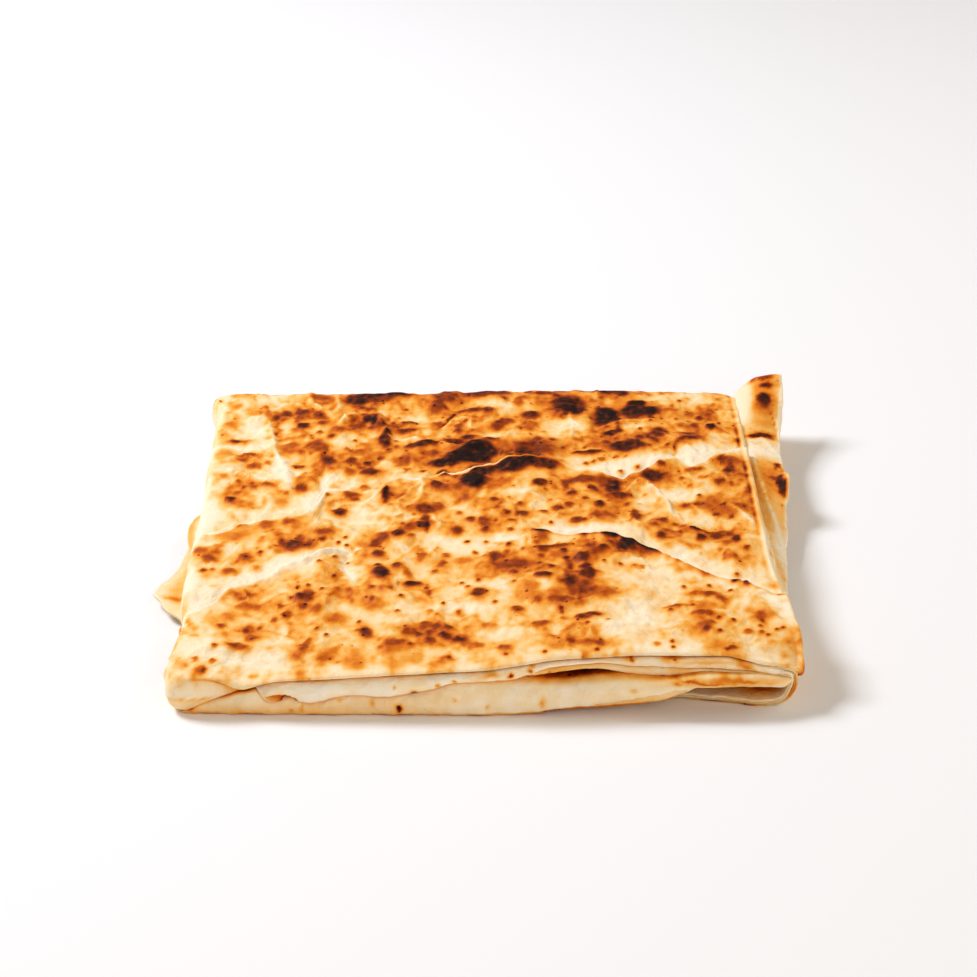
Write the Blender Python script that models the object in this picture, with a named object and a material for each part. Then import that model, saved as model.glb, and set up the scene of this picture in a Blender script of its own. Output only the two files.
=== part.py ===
"""A folded gozleme: one thin sheet of griddled flat bread, folded into a flat, nearly square packet.

The packet lies on its underside. +X is its right, +Y its back, +Z up. All lengths are in metres.

It is one closed surface with the layout of a box: a top grid, a flat base, and a band of profiles that runs
once around the sides between them. A profile is a stack of rounded noses with grooves between. Each nose is
one fold of the sheet: the cap, the middle fold, the lower roll, and the single layer on the ground. Along
the left and the back the cap wraps down to the base, and there the noses merge into one rounded side.
"""

import bpy
import numpy as np

MM = 0.001

# The cap's outline: left and right edges as (y, x), front and back edges as (x, y), in millimetres.
CAP_LEFT = [(-106, -92), (-84, -91.4), (-66, -90.8), (-51, -92.6), (-16, -93), (3, -92.4), (35, -93),
            (67, -95), (109, -96.5)]
CAP_RIGHT = [(-106, 95), (-97, 94.6), (-66, 92.4), (-29, 90), (105, 89.4), (109, 89)]
CAP_FRONT = [(-93, -105), (-60, -106), (0, -106), (25, -103.5), (45, -101.5), (75, -101.5), (93, -100.5)]
CAP_BACK = [(-93, 108.6), (-20, 108.5), (13, 110), (56, 110.6), (77, 109), (93, 106)]
CORNER_CUT = 0.025  # how far a corner is pulled in, as a share of the half width

# Thicknesses and roundings.
PLY = 1.3 * MM  # one layer of cooked dough
GROOVE = 3.4 * MM  # how deep the seams between the folds run in
WRAP_RADIUS = 7 * MM  # how far the top is inset where the cap wraps down, on the left and the back
NOSE_RADIUS = 3.2 * MM  # the same where the cap ends in a thin fold, on the front and the right
CORE_INSET = 24 * MM  # profiles near a corner all point away from a core that is inset this far
CORNER_WRAP = (-66 * MM, -84 * MM)  # along the front, the noses merge into a rounded side between these x
WRAP_UPPER, WRAP_LOWER = 0.6, 0.3  # heights of the rounded side's middle rows, as shares of its height
ROUND, BLADE = 2.2, 4.5  # power of a thick fold's profile and of a flat one's
ROLL_SET_BACK = 1 * MM

# Height of the cap's upper face at its four corners, and how much it swells in the middle.
HEIGHT_FRONT_LEFT, HEIGHT_FRONT_RIGHT = 10.2 * MM, 16.2 * MM
HEIGHT_BACK_LEFT, HEIGHT_BACK_RIGHT = 13.4 * MM, 14 * MM
SWELL = 1.6 * MM

# Edges of the two flaps that lie folded on top, as (x, y) in millimetres along the packet.
FRONT_FLAP_EDGE = [(-93, -84), (-65, -46), (-40, -20), (-22, -27), (-7, -30), (8, -22), (23, -15), (40, -16),
                   (66, -41), (80, -54), (93, -74)]
MIDDLE_FLAP_EDGE = [(-93, -24), (-76, -9), (-58, 0), (-50, 12), (-36, 24), (4, 43), (17, 45), (45, 31),
                    (62, 41), (72, 40), (93, 59)]
LIP = 2.6 * MM  # width over which a flap's edge rises

# Grid lines of the top: columns, and rows in front of, between and behind the two flap edges.
COLUMNS = 32
ROWS_FRONT, ROWS_BETWEEN, ROWS_BEHIND = 8, 7, 8

# Heights of the seams that show along the front, as (x, z) in millimetres.
CAP_SEAM = [(-93, 1.2), (-84, 1.6), (-72, 4.6), (-62, 9), (-44, 11.4), (-20, 13), (0, 14.2), (15, 15.2),
            (33, 16.8), (60, 16.8), (72, 16.6), (82, 14.4), (93, 12)]
MIDDLE_SEAM = [(-93, 0.8), (-84, 1), (-72, 3.4), (-62, 5.6), (-48, 4.6), (-38, 6.6), (-22, 7.4), (-8, 10.6),
               (8, 11), (24, 13), (35, 13.2), (48, 12.4), (70, 13), (82, 12), (93, 9)]
ROLL_SEAM = [(-93, 0), (5, 0), (20, 1.2), (36, 2.6), (44, 3.6), (52, 5), (60, 7.2), (68, 8.8), (84, 8),
             (93, 7.4)]

# How far to the front the lower folds reach, as (x, y) in millimetres.
MIDDLE_FRONT = [(-93, -105), (-60, -105.5), (0, -105), (30, -103), (60, -103), (93, -101.5)]
ROLL_FRONT = [(-93, -105), (-60, -106.5), (0, -107.5), (50, -107), (80, -105.5), (93, -102)]
GROUND_FRONT = [(-93, -103), (5, -102), (30, -99), (56, -97), (65, -98), (81, -101.6), (93, -101)]
OPENING_DEPTH = 13 * MM  # how far the gap under the lifted end of the roll runs in
OPENING_START, OPENING_END = (5 * MM, 26 * MM), (84 * MM, 91 * MM)  # it opens and closes between these x

# The strip on the right: its outer edge as (y, x) and the height of that edge as (y, z), in millimetres.
STRIP_EDGE = [(-106, 94), (-75, 92.4), (-42, 95), (-10, 97.6), (20, 100), (32, 102.4), (45, 103.8),
              (58, 102.4), (77, 101.8), (99, 105.4), (108, 112)]
STRIP_HEIGHT = [(-106, 6), (-51, 4.6), (-20, 5.4), (30, 8.2), (60, 9.4), (84, 11.4), (99, 17), (108, 26)]
STRIP_TOP_SEAM, STRIP_BOTTOM_SEAM = 11.6 * MM, 8 * MM
STRIP_OVERHANG = 4 * MM  # how far its far end sticks out past the back edge
STRIP_INNER = (72 * MM, 88 * MM)  # it is drawn out between these x
STRIP_START, STRIP_END = (-80 * MM, -60 * MM), (80 * MM, 106 * MM)  # y of its near end and of its far end

# The flap on the left: its outer edge as (y, x) in millimetres.
FLAP_EDGE = [(-106, -90), (-56, -91), (-51, -92.6), (-44, -97.7), (-33, -103), (-22, -99.8), (-14, -97),
             (-4, -94.6), (6, -96), (20, -93), (109, -90)]
FLAP_TOP_SEAM, FLAP_BOTTOM_SEAM = 5.4 * MM, 2.6 * MM
FLAP_START, FLAP_END = (-56 * MM, -50 * MM), (18 * MM, 26 * MM)  # it rises and fades between these y


def clear_scene():
    for obj in list(bpy.data.objects):
        bpy.data.objects.remove(obj)


def through(points):
    """A function that passes smoothly through hand-placed points given in millimetres, and takes metres.

    Between two points it is a cubic. Its slope at a point is that of the neighbouring stretches, and zero
    where the curve turns, so that it never overshoots.
    """
    at, value = (np.array(column, float) * MM for column in zip(*points))
    steep = np.diff(value) / np.diff(at)
    turns = steep[:-1] * steep[1:] <= 0
    mean = 2 * steep[:-1] * steep[1:] / np.where(turns, 1, steep[:-1] + steep[1:])
    slope = np.concatenate([[steep[0]], np.where(turns, 0, mean), [steep[-1]]])

    def curve(where):
        where = np.clip(where, at[0], at[-1])
        i = np.clip(np.searchsorted(at, where) - 1, 0, len(at) - 2)
        span, rise = at[i + 1] - at[i], value[i + 1] - value[i]
        t = (where - at[i]) / span
        leave, arrive = slope[i] * span - rise, rise - slope[i + 1] * span
        return value[i] + t * rise + t * (1 - t) * ((1 - t) * leave + t * arrive)

    return curve


def ramp(value, start, end):
    """0 before start, 1 after end, with a smooth rise between."""
    t = np.clip((value - start) / (end - start), 0, 1)
    return t * t * (3 - 2 * t)


cap_left, cap_right, cap_front, cap_back = map(through, (CAP_LEFT, CAP_RIGHT, CAP_FRONT, CAP_BACK))
front_flap_edge, middle_flap_edge = through(FRONT_FLAP_EDGE), through(MIDDLE_FLAP_EDGE)
cap_seam, middle_seam, roll_seam = map(through, (CAP_SEAM, MIDDLE_SEAM, ROLL_SEAM))
middle_front, roll_front, ground_front = map(through, (MIDDLE_FRONT, ROLL_FRONT, GROUND_FRONT))
strip_edge, strip_height, flap_edge = map(through, (STRIP_EDGE, STRIP_HEIGHT, FLAP_EDGE))


def top_height(x, y):
    """Upper face of the cap: a plane through the corner heights, a swell, and a step at each flap's edge."""
    u = np.clip((x - cap_left(y)) / (cap_right(y) - cap_left(y)), 0, 1)
    v = np.clip((y - cap_front(x)) / (cap_back(x) - cap_front(x)), 0, 1)
    plane = (1 - v) * ((1 - u) * HEIGHT_FRONT_LEFT + u * HEIGHT_FRONT_RIGHT)
    plane += v * ((1 - u) * HEIGHT_BACK_LEFT + u * HEIGHT_BACK_RIGHT)
    swell = SWELL * (16 * u * (1 - u) * v * (1 - v)) ** 0.5
    steps = sum(ramp(edge(x) - y, -LIP / 2, LIP / 2) for edge in (front_flap_edge, middle_flap_edge))
    return plane + swell + PLY * steps


def top_grid():
    """Plan of the top face. Its rows follow the two flaps' edges, so that each step lies between two rows."""
    a = np.linspace(0, 1, COLUMNS + 1)
    flat_left, flat_right = cap_left(0) + WRAP_RADIUS, cap_right(0) - NOSE_RADIUS
    column = flat_left + a * (flat_right - flat_left)
    front, back = cap_front(column) + NOSE_RADIUS, cap_back(column) - WRAP_RADIUS
    first, second = front_flap_edge(column), middle_flap_edge(column)
    stops = [front, first - LIP / 2, first, first + LIP / 2, second - LIP / 2, second, second + LIP / 2, back]
    counts = [ROWS_FRONT, 1, 1, ROWS_BETWEEN, 1, 1, ROWS_BEHIND]
    rows = [stops[0]]
    for low, high, count in zip(stops, stops[1:], counts):
        rows += [low + (high - low) * k / count for k in range(1, count + 1)]
    y = np.stack(rows, axis=1)
    left, right = cap_left(y) + WRAP_RADIUS, cap_right(y) - NOSE_RADIUS
    x = left + a[:, None] * (right - left)

    middle_x, middle_y = (left + right) / 2, (front + back)[:, None] / 2
    b = 2 * (y - front[:, None]) / (back - front)[:, None] - 1
    power = (1 - CORNER_CUT) / (2 * CORNER_CUT)
    pull = 1 - CORNER_CUT * np.abs((2 * a - 1)[:, None] * b) ** power
    return middle_x + (x - middle_x) * pull, middle_y + (y - middle_y) * pull


def rim_indices(shape):
    """Grid indices of the rim, once around anticlockwise seen from above, from the front left corner."""
    i, j = shape[0] - 1, shape[1] - 1
    front = [(k, 0) for k in range(i)]
    right = [(i, k) for k in range(j)]
    back = [(k, j) for k in range(i, 0, -1)]
    left = [(0, k) for k in range(j, 0, -1)]
    return tuple(np.array(front + right + back + left).T)


def nose(high, low, angles, power=2.0):
    """Rows of one fold's profile, from its upper seam at height high round its tip to its seam at height low.

    The profile is a half ellipse, or a flatter blade for a larger power. Each row is its height and how far
    out it lies, from 0 at a seam to 1 at the tip.
    """
    turn = np.radians(angles)[:, None] + 0 * high
    out = np.cos(turn).clip(0) ** (2 / power)
    up = np.sign(turn) * np.abs(np.sin(turn)) ** (2 / power)
    return (high + low) / 2 + (high - low) / 2 * up, out


class Rim:
    """The cap's rim: where each profile starts, which way it faces, and the shares of the four sides in it.

    Profiles face away from a core rectangle, so that neighbours never cross. Round a corner the share of
    one side fades into that of the next.
    """

    def __init__(self, x, y, height):
        core_x = np.clip(x, cap_left(0) + CORE_INSET, cap_right(0) - CORE_INSET)
        core_y = np.clip(y, cap_front(0) + CORE_INSET, cap_back(0) - CORE_INSET)
        length = np.hypot(x - core_x, y - core_y)
        self.x, self.y, self.height = x, y, height
        self.away_x, self.away_y = (x - core_x) / length, (y - core_y) / length
        facing = (-self.away_y, self.away_x, self.away_y, -self.away_x)
        self.shares = [np.clip(part, 0, 1) ** 2 for part in facing]
        self.inset = self.around(NOSE_RADIUS, NOSE_RADIUS, WRAP_RADIUS, WRAP_RADIUS)
        self.edge_x, self.edge_y = x + self.away_x * self.inset, y + self.away_y * self.inset

    def around(self, front, right, back, left):
        """Blends four values, one for each side, round the corners."""
        return sum(share * value for share, value in zip(self.shares, (front, right, back, left)))


def fold_rows(rim):
    """Rows of the cap, the middle fold and the roll: height, distance out from the cap's edge, and draw.

    Draw is how much a row follows the strip or the flap, which are the middle fold drawn out sideways. Along
    the left, the back and the near left corner the rows lie on one rounded side instead of on noses.
    """
    height = rim.height
    cap_low = rim.around(cap_seam(rim.x), STRIP_TOP_SEAM, WRAP_UPPER * height, WRAP_UPPER * height)
    middle_high = rim.around(cap_seam(rim.x), STRIP_TOP_SEAM, WRAP_UPPER * height, FLAP_TOP_SEAM)
    middle_low = rim.around(middle_seam(rim.x), STRIP_BOTTOM_SEAM, WRAP_LOWER * height, FLAP_BOTTOM_SEAM)
    roll_low = rim.around(roll_seam(rim.x), 0, 0, 0)

    flatness = rim.around(ROUND, BLADE, BLADE, BLADE)
    cap_z, cap_out = nose(height, cap_low, (90, 50, 0, -50, -90))
    middle_z, middle_out = nose(middle_high, middle_low, (62, 28, 0, -28, -62, -90), flatness)
    roll_z, roll_out = nose(middle_low, roll_low, (50, 0, -50, -90))

    middle_ahead = rim.around(cap_front(rim.x) - middle_front(rim.x), 0, 0, 0)
    set_back = 3 * [-ROLL_SET_BACK]
    roll_ahead = rim.around(cap_front(rim.x) - roll_front(rim.x), *set_back)
    z = np.concatenate([cap_z, middle_z, roll_z])
    noses = np.concatenate([(cap_out - 1) * rim.inset,
                            (middle_out - 1) * GROOVE + middle_out * middle_ahead,
                            (roll_out - 1) * GROOVE + roll_out * roll_ahead])
    rounded = WRAP_RADIUS * (np.sqrt(np.clip(1 - (2 * z / height - 1) ** 2, 0, 1)) - 1)
    wrapped = rim.around(ramp(rim.x, *CORNER_WRAP), 0, 1, 1)
    draw = np.concatenate([0 * cap_z, middle_out, 0 * roll_z])
    return z, noses + wrapped * (rounded - noses), draw


def foot_rows(rim, roll_out):
    """Rows below the roll: height and distance out. They end in the flat base's outline.

    Under the lifted end of the roll they run into the gap and out again along the ground sheet. Everywhere
    else they lie close together, on the base or on the wall that closes the gap at its end.
    """
    roll_low = rim.around(roll_seam(rim.x), 0, 0, 0)
    ground_top = np.minimum(PLY, roll_low / 2)
    ground_tip = rim.around(cap_front(rim.x) - ground_front(rim.x), 0, 0, 0)
    z = [roll_low, ground_top, ground_top, ground_top / 2, 0 * roll_low]
    gap = [-OPENING_DEPTH, -OPENING_DEPTH - PLY / 2, ground_tip - PLY / 2, ground_tip, ground_tip - PLY]
    closed = [roll_out - k * PLY / 2 for k in range(1, 6)]
    opened = rim.around(ramp(rim.x, *OPENING_START) * (1 - ramp(rim.x, *OPENING_END)), 0, 0, 0)
    return np.array(z), np.array([(1 - opened) * near + opened * deep for near, deep in zip(closed, gap)])


def side_band(rim):
    """The sides: for every point of the rim its profile down to the base, as rows of x, y and z."""
    z, out, draw = fold_rows(rim)
    foot_z, foot_out = foot_rows(rim, out[-1])
    z, out = np.concatenate([z, foot_z]), np.concatenate([out, foot_out])
    draw = np.concatenate([draw, 0 * foot_z])

    strip_there = ramp(rim.edge_x, *STRIP_INNER) * ramp(rim.edge_y, *STRIP_START)
    strip_x = np.maximum(strip_edge(rim.edge_y) - rim.edge_x, 0) * strip_there
    strip_y = STRIP_OVERHANG * ramp(rim.edge_y, *STRIP_END) * strip_there
    strip_lift = (strip_height(rim.edge_y) - (STRIP_TOP_SEAM + STRIP_BOTTOM_SEAM) / 2) * strip_there
    flap_there = ramp(rim.edge_y, *FLAP_START) * (1 - ramp(rim.edge_y, *FLAP_END)) * (rim.edge_x < 0)
    flap_x = np.minimum(flap_edge(rim.edge_y) - rim.edge_x, 0) * flap_there
    x = rim.edge_x + rim.away_x * out + draw * (strip_x + flap_x)
    y = rim.edge_y + rim.away_y * out + draw * strip_y
    return x, y, z + draw ** 2 * strip_lift


def build_solid(name):
    """One closed mesh from the top grid, the side band and the base."""
    x, y = top_grid()
    z = top_height(x, y)
    count_x, count_y = x.shape
    i, j = rim_indices(x.shape)
    band = side_band(Rim(x[i, j], y[i, j], z[i, j]))
    around, rows = len(i), len(band[0])

    number = np.arange(count_x * count_y).reshape(count_x, count_y)
    top = np.stack([number[:-1, :-1], number[1:, :-1], number[1:, 1:], number[:-1, 1:]], axis=-1)
    ring = count_x * count_y + np.arange((rows - 1) * around).reshape(rows - 1, around)
    ring = np.concatenate([number[i, j][None], ring])
    onward = np.roll(ring, -1, axis=1)
    sides = np.stack([ring[1:], onward[1:], onward[:-1], ring[:-1]], axis=-1).reshape(-1, 4)
    base = ring[-1][::-1]

    points = np.stack([np.concatenate([grid.ravel(), lines[1:].ravel()])
                       for grid, lines in zip((x, y, z), band)], axis=1)
    low, high = points.min(0), points.max(0)
    points -= [(low[0] + high[0]) / 2, (low[1] + high[1]) / 2, low[2]]

    mesh = bpy.data.meshes.new(name)
    faces = [*top.reshape(-1, 4).tolist(), *sides.tolist(), base.tolist()]
    mesh.from_pydata(points.tolist(), [], faces)
    mesh.update()
    solid = bpy.data.objects.new(name, mesh)
    bpy.context.scene.collection.objects.link(solid)
    return solid


def cooked_dough():
    material = bpy.data.materials.new("cooked_dough")
    material.use_nodes = True
    shader = material.node_tree.nodes["Principled BSDF"]
    shader.inputs["Base Color"].default_value = (0.86, 0.66, 0.40, 1)
    shader.inputs["Roughness"].default_value = 0.7
    shader.inputs["Metallic"].default_value = 0
    return material


def main():
    clear_scene()
    gozleme = build_solid("gozleme")
    gozleme.data.materials.append(cooked_dough())
    gozleme.data.shade_smooth()
    gozleme.data.set_sharp_from_angle(angle=np.radians(50))


main()
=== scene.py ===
# %% [markdown]
# # A folded gozleme
# A gozleme is a thin sheet of dough, folded over itself into a flat packet and browned on a griddle. This
# lesson builds one as a few closed surfaces worked out with numpy, and paints it with one dough material.
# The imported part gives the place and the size; everything here is shaped around it.
#
# Sculpting or a cloth simulation could make it too, but neither is easy to steer to one given packet, or can
# be read afterwards. In a surface from formulas each number moves one thing.

# %% Load the frame
import math

import bpy
import numpy as np
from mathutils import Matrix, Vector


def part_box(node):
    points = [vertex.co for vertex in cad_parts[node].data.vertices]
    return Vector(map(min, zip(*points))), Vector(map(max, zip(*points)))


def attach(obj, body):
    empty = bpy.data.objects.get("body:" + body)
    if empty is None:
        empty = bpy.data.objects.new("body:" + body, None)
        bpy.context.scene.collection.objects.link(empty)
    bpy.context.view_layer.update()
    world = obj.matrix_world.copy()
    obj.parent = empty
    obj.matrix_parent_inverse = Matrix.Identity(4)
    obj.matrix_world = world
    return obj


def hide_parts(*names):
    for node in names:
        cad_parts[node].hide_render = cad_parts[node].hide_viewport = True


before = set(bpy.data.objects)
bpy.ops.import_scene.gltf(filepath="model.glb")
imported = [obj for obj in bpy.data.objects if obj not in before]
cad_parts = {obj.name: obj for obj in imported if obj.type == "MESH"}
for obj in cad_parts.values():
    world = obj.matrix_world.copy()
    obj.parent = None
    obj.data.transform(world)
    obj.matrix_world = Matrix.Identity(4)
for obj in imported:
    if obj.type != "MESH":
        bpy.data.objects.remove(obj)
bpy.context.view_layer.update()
low_corner, high_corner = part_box("gozleme")
print("part box, mm:", [round(1000 * v, 1) for v in (*low_corner, *high_corner)])

# %% [markdown]
# ## Working in millimetres
# Shapes are worked out in millimetres from the packet's own centre, with x to the right, y to the back and
# z up. The small flap on the left sticks out, and so does the strip at the back right, so the packet's own
# centre is not the centre of the part's box. Two lengths tie them together.

# %% Tie the packet's centre to the part
MM = 0.001
FLAP_TIP_TO_CENTRE, FRONT_TO_CENTRE = 102.39, 107.83
CENTRE = np.array([low_corner[0] / MM + FLAP_TIP_TO_CENTRE, low_corner[1] / MM + FRONT_TO_CENTRE, 0.0])
print("packet centre in the part's frame, mm:", CENTRE.round(2))

# %% [markdown]
# ## Noise
# Dough blisters and browns unevenly but smoothly. A noise texture gives that, but only inside a material, and
# here the shape needs it too. So gradient noise, which rolls between about -1 and 1, is worked out in numpy.
# Its slopes come from a table looked up by hashing whole numbers: the same place always gets the same value.

# %% Noise
TABLE = 4096  # rows, a power of two
GRADIENTS = np.random.default_rng(11).normal(size=(TABLE, 3))
GRADIENTS /= np.linalg.norm(GRADIENTS, axis=1, keepdims=True)
CUBE = np.stack(np.meshgrid([0, 1], [0, 1], [0, 1], indexing="ij"), -1).reshape(-1, 3)


def hashed(whole, seed):
    """Folds three whole numbers and a seed into a row number of the tables."""
    mixed = whole[..., 0] * 73856093 ^ whole[..., 1] * 19349663 ^ whole[..., 2] * 83492791 ^ seed * 2654435
    return (mixed ^ (mixed >> 13)) & (TABLE - 1)


def noise(points, cell, seed):
    """Gradient noise: a random slope at each corner of a cube, blended with 6t^5 - 15t^4 + 10t^3."""
    place = points / cell
    whole = np.floor(place).astype(np.int64)
    part = place - whole
    fade = part ** 3 * (part * (part * 6 - 15) + 10)
    total = np.zeros(points.shape[:-1])
    for corner in CUBE:
        slope = GRADIENTS[hashed(whole + corner, seed)]
        weight = np.prod(np.where(corner, fade, 1 - fade), axis=-1)
        total += weight * np.sum(slope * (part - corner), axis=-1)
    return 1.7 * total  # which brings its range to about -1 to 1


def layers(points, cell, seed, octaves=3, gain=0.5):
    """Noise plus finer noise: each octave has half the cell and gain times the height."""
    return sum(gain ** k * noise(points, cell / 2 ** k, seed + k) for k in range(octaves))


SAMPLES = np.array([[0.5, 0, 0], [2, 1, 0.5], [7, 3, 1]])
print("noise at three places:", noise(SAMPLES, 2, 1).round(2))

# %% [markdown]
# ## Cells
# Freckles and specks are single and round. A particle system could strew them, but then each would be an
# object. Cells do it with numbers: one point is thrown into each cube
# of space, and a speck is where the nearest one is close. Each thrown point also has a number of its own, so
# that only some of them have to become a speck.

# %% Cells
SCATTER = np.random.default_rng(12).random((TABLE, 4))
NEIGHBOURS = np.stack(np.meshgrid(*3 * [[-1, 0, 1]], indexing="ij"), -1).reshape(-1, 3)


def cells(points, cell, seed):
    """Distance to the nearest scattered point in cells, and that point's own random number."""
    place = points / cell
    whole = np.floor(place).astype(np.int64)
    nearest, number = np.full(points.shape[:-1], 9.0), np.zeros(points.shape[:-1])
    for step in NEIGHBOURS:
        random = SCATTER[hashed(whole + step, seed)]
        away = np.linalg.norm(whole + step + random[..., :3] - place, axis=-1)
        closer = away < nearest
        nearest, number = np.where(closer, away, nearest), np.where(closer, random[..., 3], number)
    return nearest, number


print("distance to the nearest thrown point:", cells(SAMPLES, 2, 1)[0].round(2))

# %% [markdown]
# ## Curves through a few points
# An edge of dough wanders and has no radius. A Bezier curve object could follow it, but every formula below
# can ask a function for its value at any place. This one goes through a few given points, and never swings
# past them.


# %% Curves
def through(points):
    """A smooth function through given (place, value) pairs, cubic between them, that never overshoots.

    Its slope at a point is the harmonic mean of the stretches on both sides, and zero where the curve turns.
    """
    at, value = (np.array(column, float) for column in zip(*points))
    steep = np.diff(value) / np.diff(at)
    turns = steep[:-1] * steep[1:] <= 0
    mean = 2 * steep[:-1] * steep[1:] / np.where(turns, 1, steep[:-1] + steep[1:])
    slope = np.concatenate([[steep[0]], np.where(turns, 0, mean), [steep[-1]]])

    def curve(where):
        where = np.clip(where, at[0], at[-1])
        i = np.clip(np.searchsorted(at, where) - 1, 0, len(at) - 2)
        span, rise = at[i + 1] - at[i], value[i + 1] - value[i]
        t = (where - at[i]) / span
        leave, arrive = slope[i] * span - rise, rise - slope[i + 1] * span
        return value[i] + t * rise + t * (1 - t) * ((1 - t) * leave + t * arrive)

    return curve


print("a curve through (0, 0), (1, 1) and (2, 0), half way up:", through([(0, 0), (1, 1), (2, 0)])(0.5))

# %% [markdown]
# ## Ramps and hills
# Most of the shaping below is blending: something starts here and ends there, or happens only round one
# place. Two small functions say this in a word, and both are smooth, so that no blend leaves a crease.


# %% Ramps and hills
def ramp(value, start, end):
    """0 before start, 1 after end, with a smooth rise between."""
    t = np.clip((value - start) / (end - start), 0, 1)
    return t * t * (3 - 2 * t)


def hill(value, middle, width):
    """1 at middle, falling off like a bell on both sides."""
    return np.exp(-((value - middle) / width) ** 2)


def at_height(x, y, z=0.0):
    """Points from x, y and z arrays."""
    return np.stack(np.broadcast_arrays(x, y, z), -1).astype(float)


print("a quarter up a ramp:", ramp(0.25, 0, 1), " one width off a hill's middle:", hill(1.0, 0, 1).round(2))

# %% [markdown]
# ## The plan of the packet
# The top sheet's outline, and the edges of the two flaps that lie folded on it, are smooth curves through a
# few given points. The flap nearer the front lies on top of what is behind it, so each flap edge is
# a small step down towards the back. Where the dough has stuck together the step is almost nothing.
# Separate sheets would show the same steps, but might cut through one another. One sheet with steps can't.

# %% Outline and flap edges
LEFT_EDGE = through([
    (-106, -93), (-84, -92), (-66, -90.8), (-51, -92.6), (-16, -93), (3, -92.4), (35, -92.4), (67, -93),
    (94, -93.2), (101, -95.4), (106, -96.8), (109, -96.8),
])
RIGHT_EDGE = through([(-106, 96.6), (-97, 95.6), (-66, 92.4), (-29, 90), (105, 89.4), (109, 89)])
FRONT_EDGE = through([
    (-93, -105), (-60, -106), (0, -106), (25, -103.5), (45, -101.5), (75, -101.5), (93, -100.5),
])
BACK_EDGE = through([(-93, 108.6), (-20, 108.5), (13, 110), (56, 110.6), (77, 109), (93, 106)])

FRONT_FLAP = through([
    (-95, -73), (-83, -60), (-76, -52), (-70, -47), (-65, -43), (-60, -38), (-55, -33.5), (-50, -30),
    (-45, -27), (-40, -25), (-25, -24.5), (0, -25), (10, -23.5), (16, -19), (20, -20), (26, -22.5),
    (36, -24), (41, -25), (46, -28.5), (52, -33), (55, -35.5), (60, -41.5), (66, -48), (70, -51.5),
    (75, -54.5), (79, -56.5), (84, -61), (88, -64), (95, -68),
])
MIDDLE_FLAP = through([
    (-95, -9), (-84, -9), (-72, -2), (-66, -1), (-60, 0), (-56, 1.5), (-53.5, 7), (-51, 17), (-46, 20),
    (-40, 18), (-34, 22), (-28, 27.5), (-24, 28), (-19, 28.5), (-12, 32.5), (-7, 31.5), (-2, 35), (4, 38.5),
    (10, 41.5), (17, 40.5), (24, 38), (30, 33.5), (36, 28.5), (41, 27), (46, 23), (49, 28), (52, 29),
    (56, 34.5), (60, 38), (65, 40), (70, 35.5), (74, 39.5), (80, 47.5), (86, 52), (95, 57),
])
FRONT_FLAP_STEP = through([
    (-95, 0.8), (-76, 1.7), (-50, 1.8), (-42, 0.4), (2, 0.2), (12, 0.5), (18, 1.3), (40, 1.6), (75, 1.5),
    (95, 1.0),
])
MIDDLE_FLAP_STEP = through([
    (-95, 0.7), (-62, 0.9), (-52, 1.5), (-42, 0.9), (-28, 1.5), (-20, 0.6), (-10, 0.9), (0, 1.6), (12, 2.0),
    (46, 1.9), (60, 1.6), (72, 1.4), (95, 1.1),
])
print("left and right edge in the middle, mm:", LEFT_EDGE(0).round(1), RIGHT_EDGE(0).round(1))

# %% [markdown]
# A flap's rim also changes how the dough browns. The lip itself stands up and catches the griddle, or was
# pinched and stays pale. Its colour is also partly painted light: a brown lip stands for the shade at the
# step, a pale one for the highlight on the rim. Just behind it the sheet is held off the griddle, so a bare
# band follows the edge.

# %% Browning along the flap edges
# How much hotter or cooler each edge's lip is, partly as painted shade at the step and painted highlight on
# the rim.
FRONT_LIP_HEAT_AND_PAINTED_LIGHT = through([
    (-95, -.1), (-76, -.3), (-44, -.3), (-38, 0), (12, 0), (18, .25), (60, .22), (92, .12),
])
MIDDLE_LIP_HEAT_AND_PAINTED_LIGHT = through([
    (-95, 0), (-60, -.1), (-52, -.3), (-44, -.2), (-34, -.1), (-24, -.3), (-18, -.1), (-12, -.7), (4, -.7),
    (12, -.3), (40, -.1), (48, 0), (60, -.1), (80, -.2), (90, -.2),
])
# How far behind each edge the dough stays pale, because the flap's own rim kept it off the griddle.
FRONT_FLAP_BARE = through([
    (-95, 4), (-80, 8), (-62, 9), (-50, 6), (-42, 4), (-34, 0.1), (12, 0.1), (18, 5), (30, 8), (50, 8),
    (72, 8), (88, 6), (95, 5),
])
MIDDLE_FLAP_BARE = through([
    (-95, 5), (-62, 5), (-52, 5), (-44, 3), (-34, 0.5), (-18, 0.5), (-12, 2), (0, 2.6), (12, 2.2), (22, 4),
    (34, 7), (46, 11), (54, 9), (62, 8), (70, 11), (80, 5), (95, 3),
])
print("front flap's edge, left, middle and right: y", FRONT_FLAP(np.array([-90, 0, 90])).round(1), "mm")

# %% [markdown]
# ## The smooth height of the packet
# The packet is thicker at the back than at the front left, and thickest at the front right, where all its
# layers lie loosely over each other. So the top is a plane through four corner heights, with a low swell in
# the middle and the steps of the flaps. Along the front it bends to the height of the front rim. A
# plane pulled about by hand would look the same from above, but would not meet the folds below as exactly.

# %% Plane, swell and front rim
CORNER_HEIGHTS = ((10.2, 15.4), (16.2, 15.6))  # left front and back, right front and back
SWELL = 1.6
FRONT_RIM = through([
    (-92, 11.8), (-83, 12.8), (-77, 12.2), (-72, 11.0), (-69.5, 10.5), (-66.6, 10.7), (-62, 11.6),
    (-59, 12.3), (-44, 13.2), (-20, 14.7), (0, 16), (11, 17.4), (23, 18.7), (45, 18.9), (66, 18.6),
    (74, 17.2), (80, 15.4), (88, 13.4), (91, 12), (93, 10), (95, 8.3),
])


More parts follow.
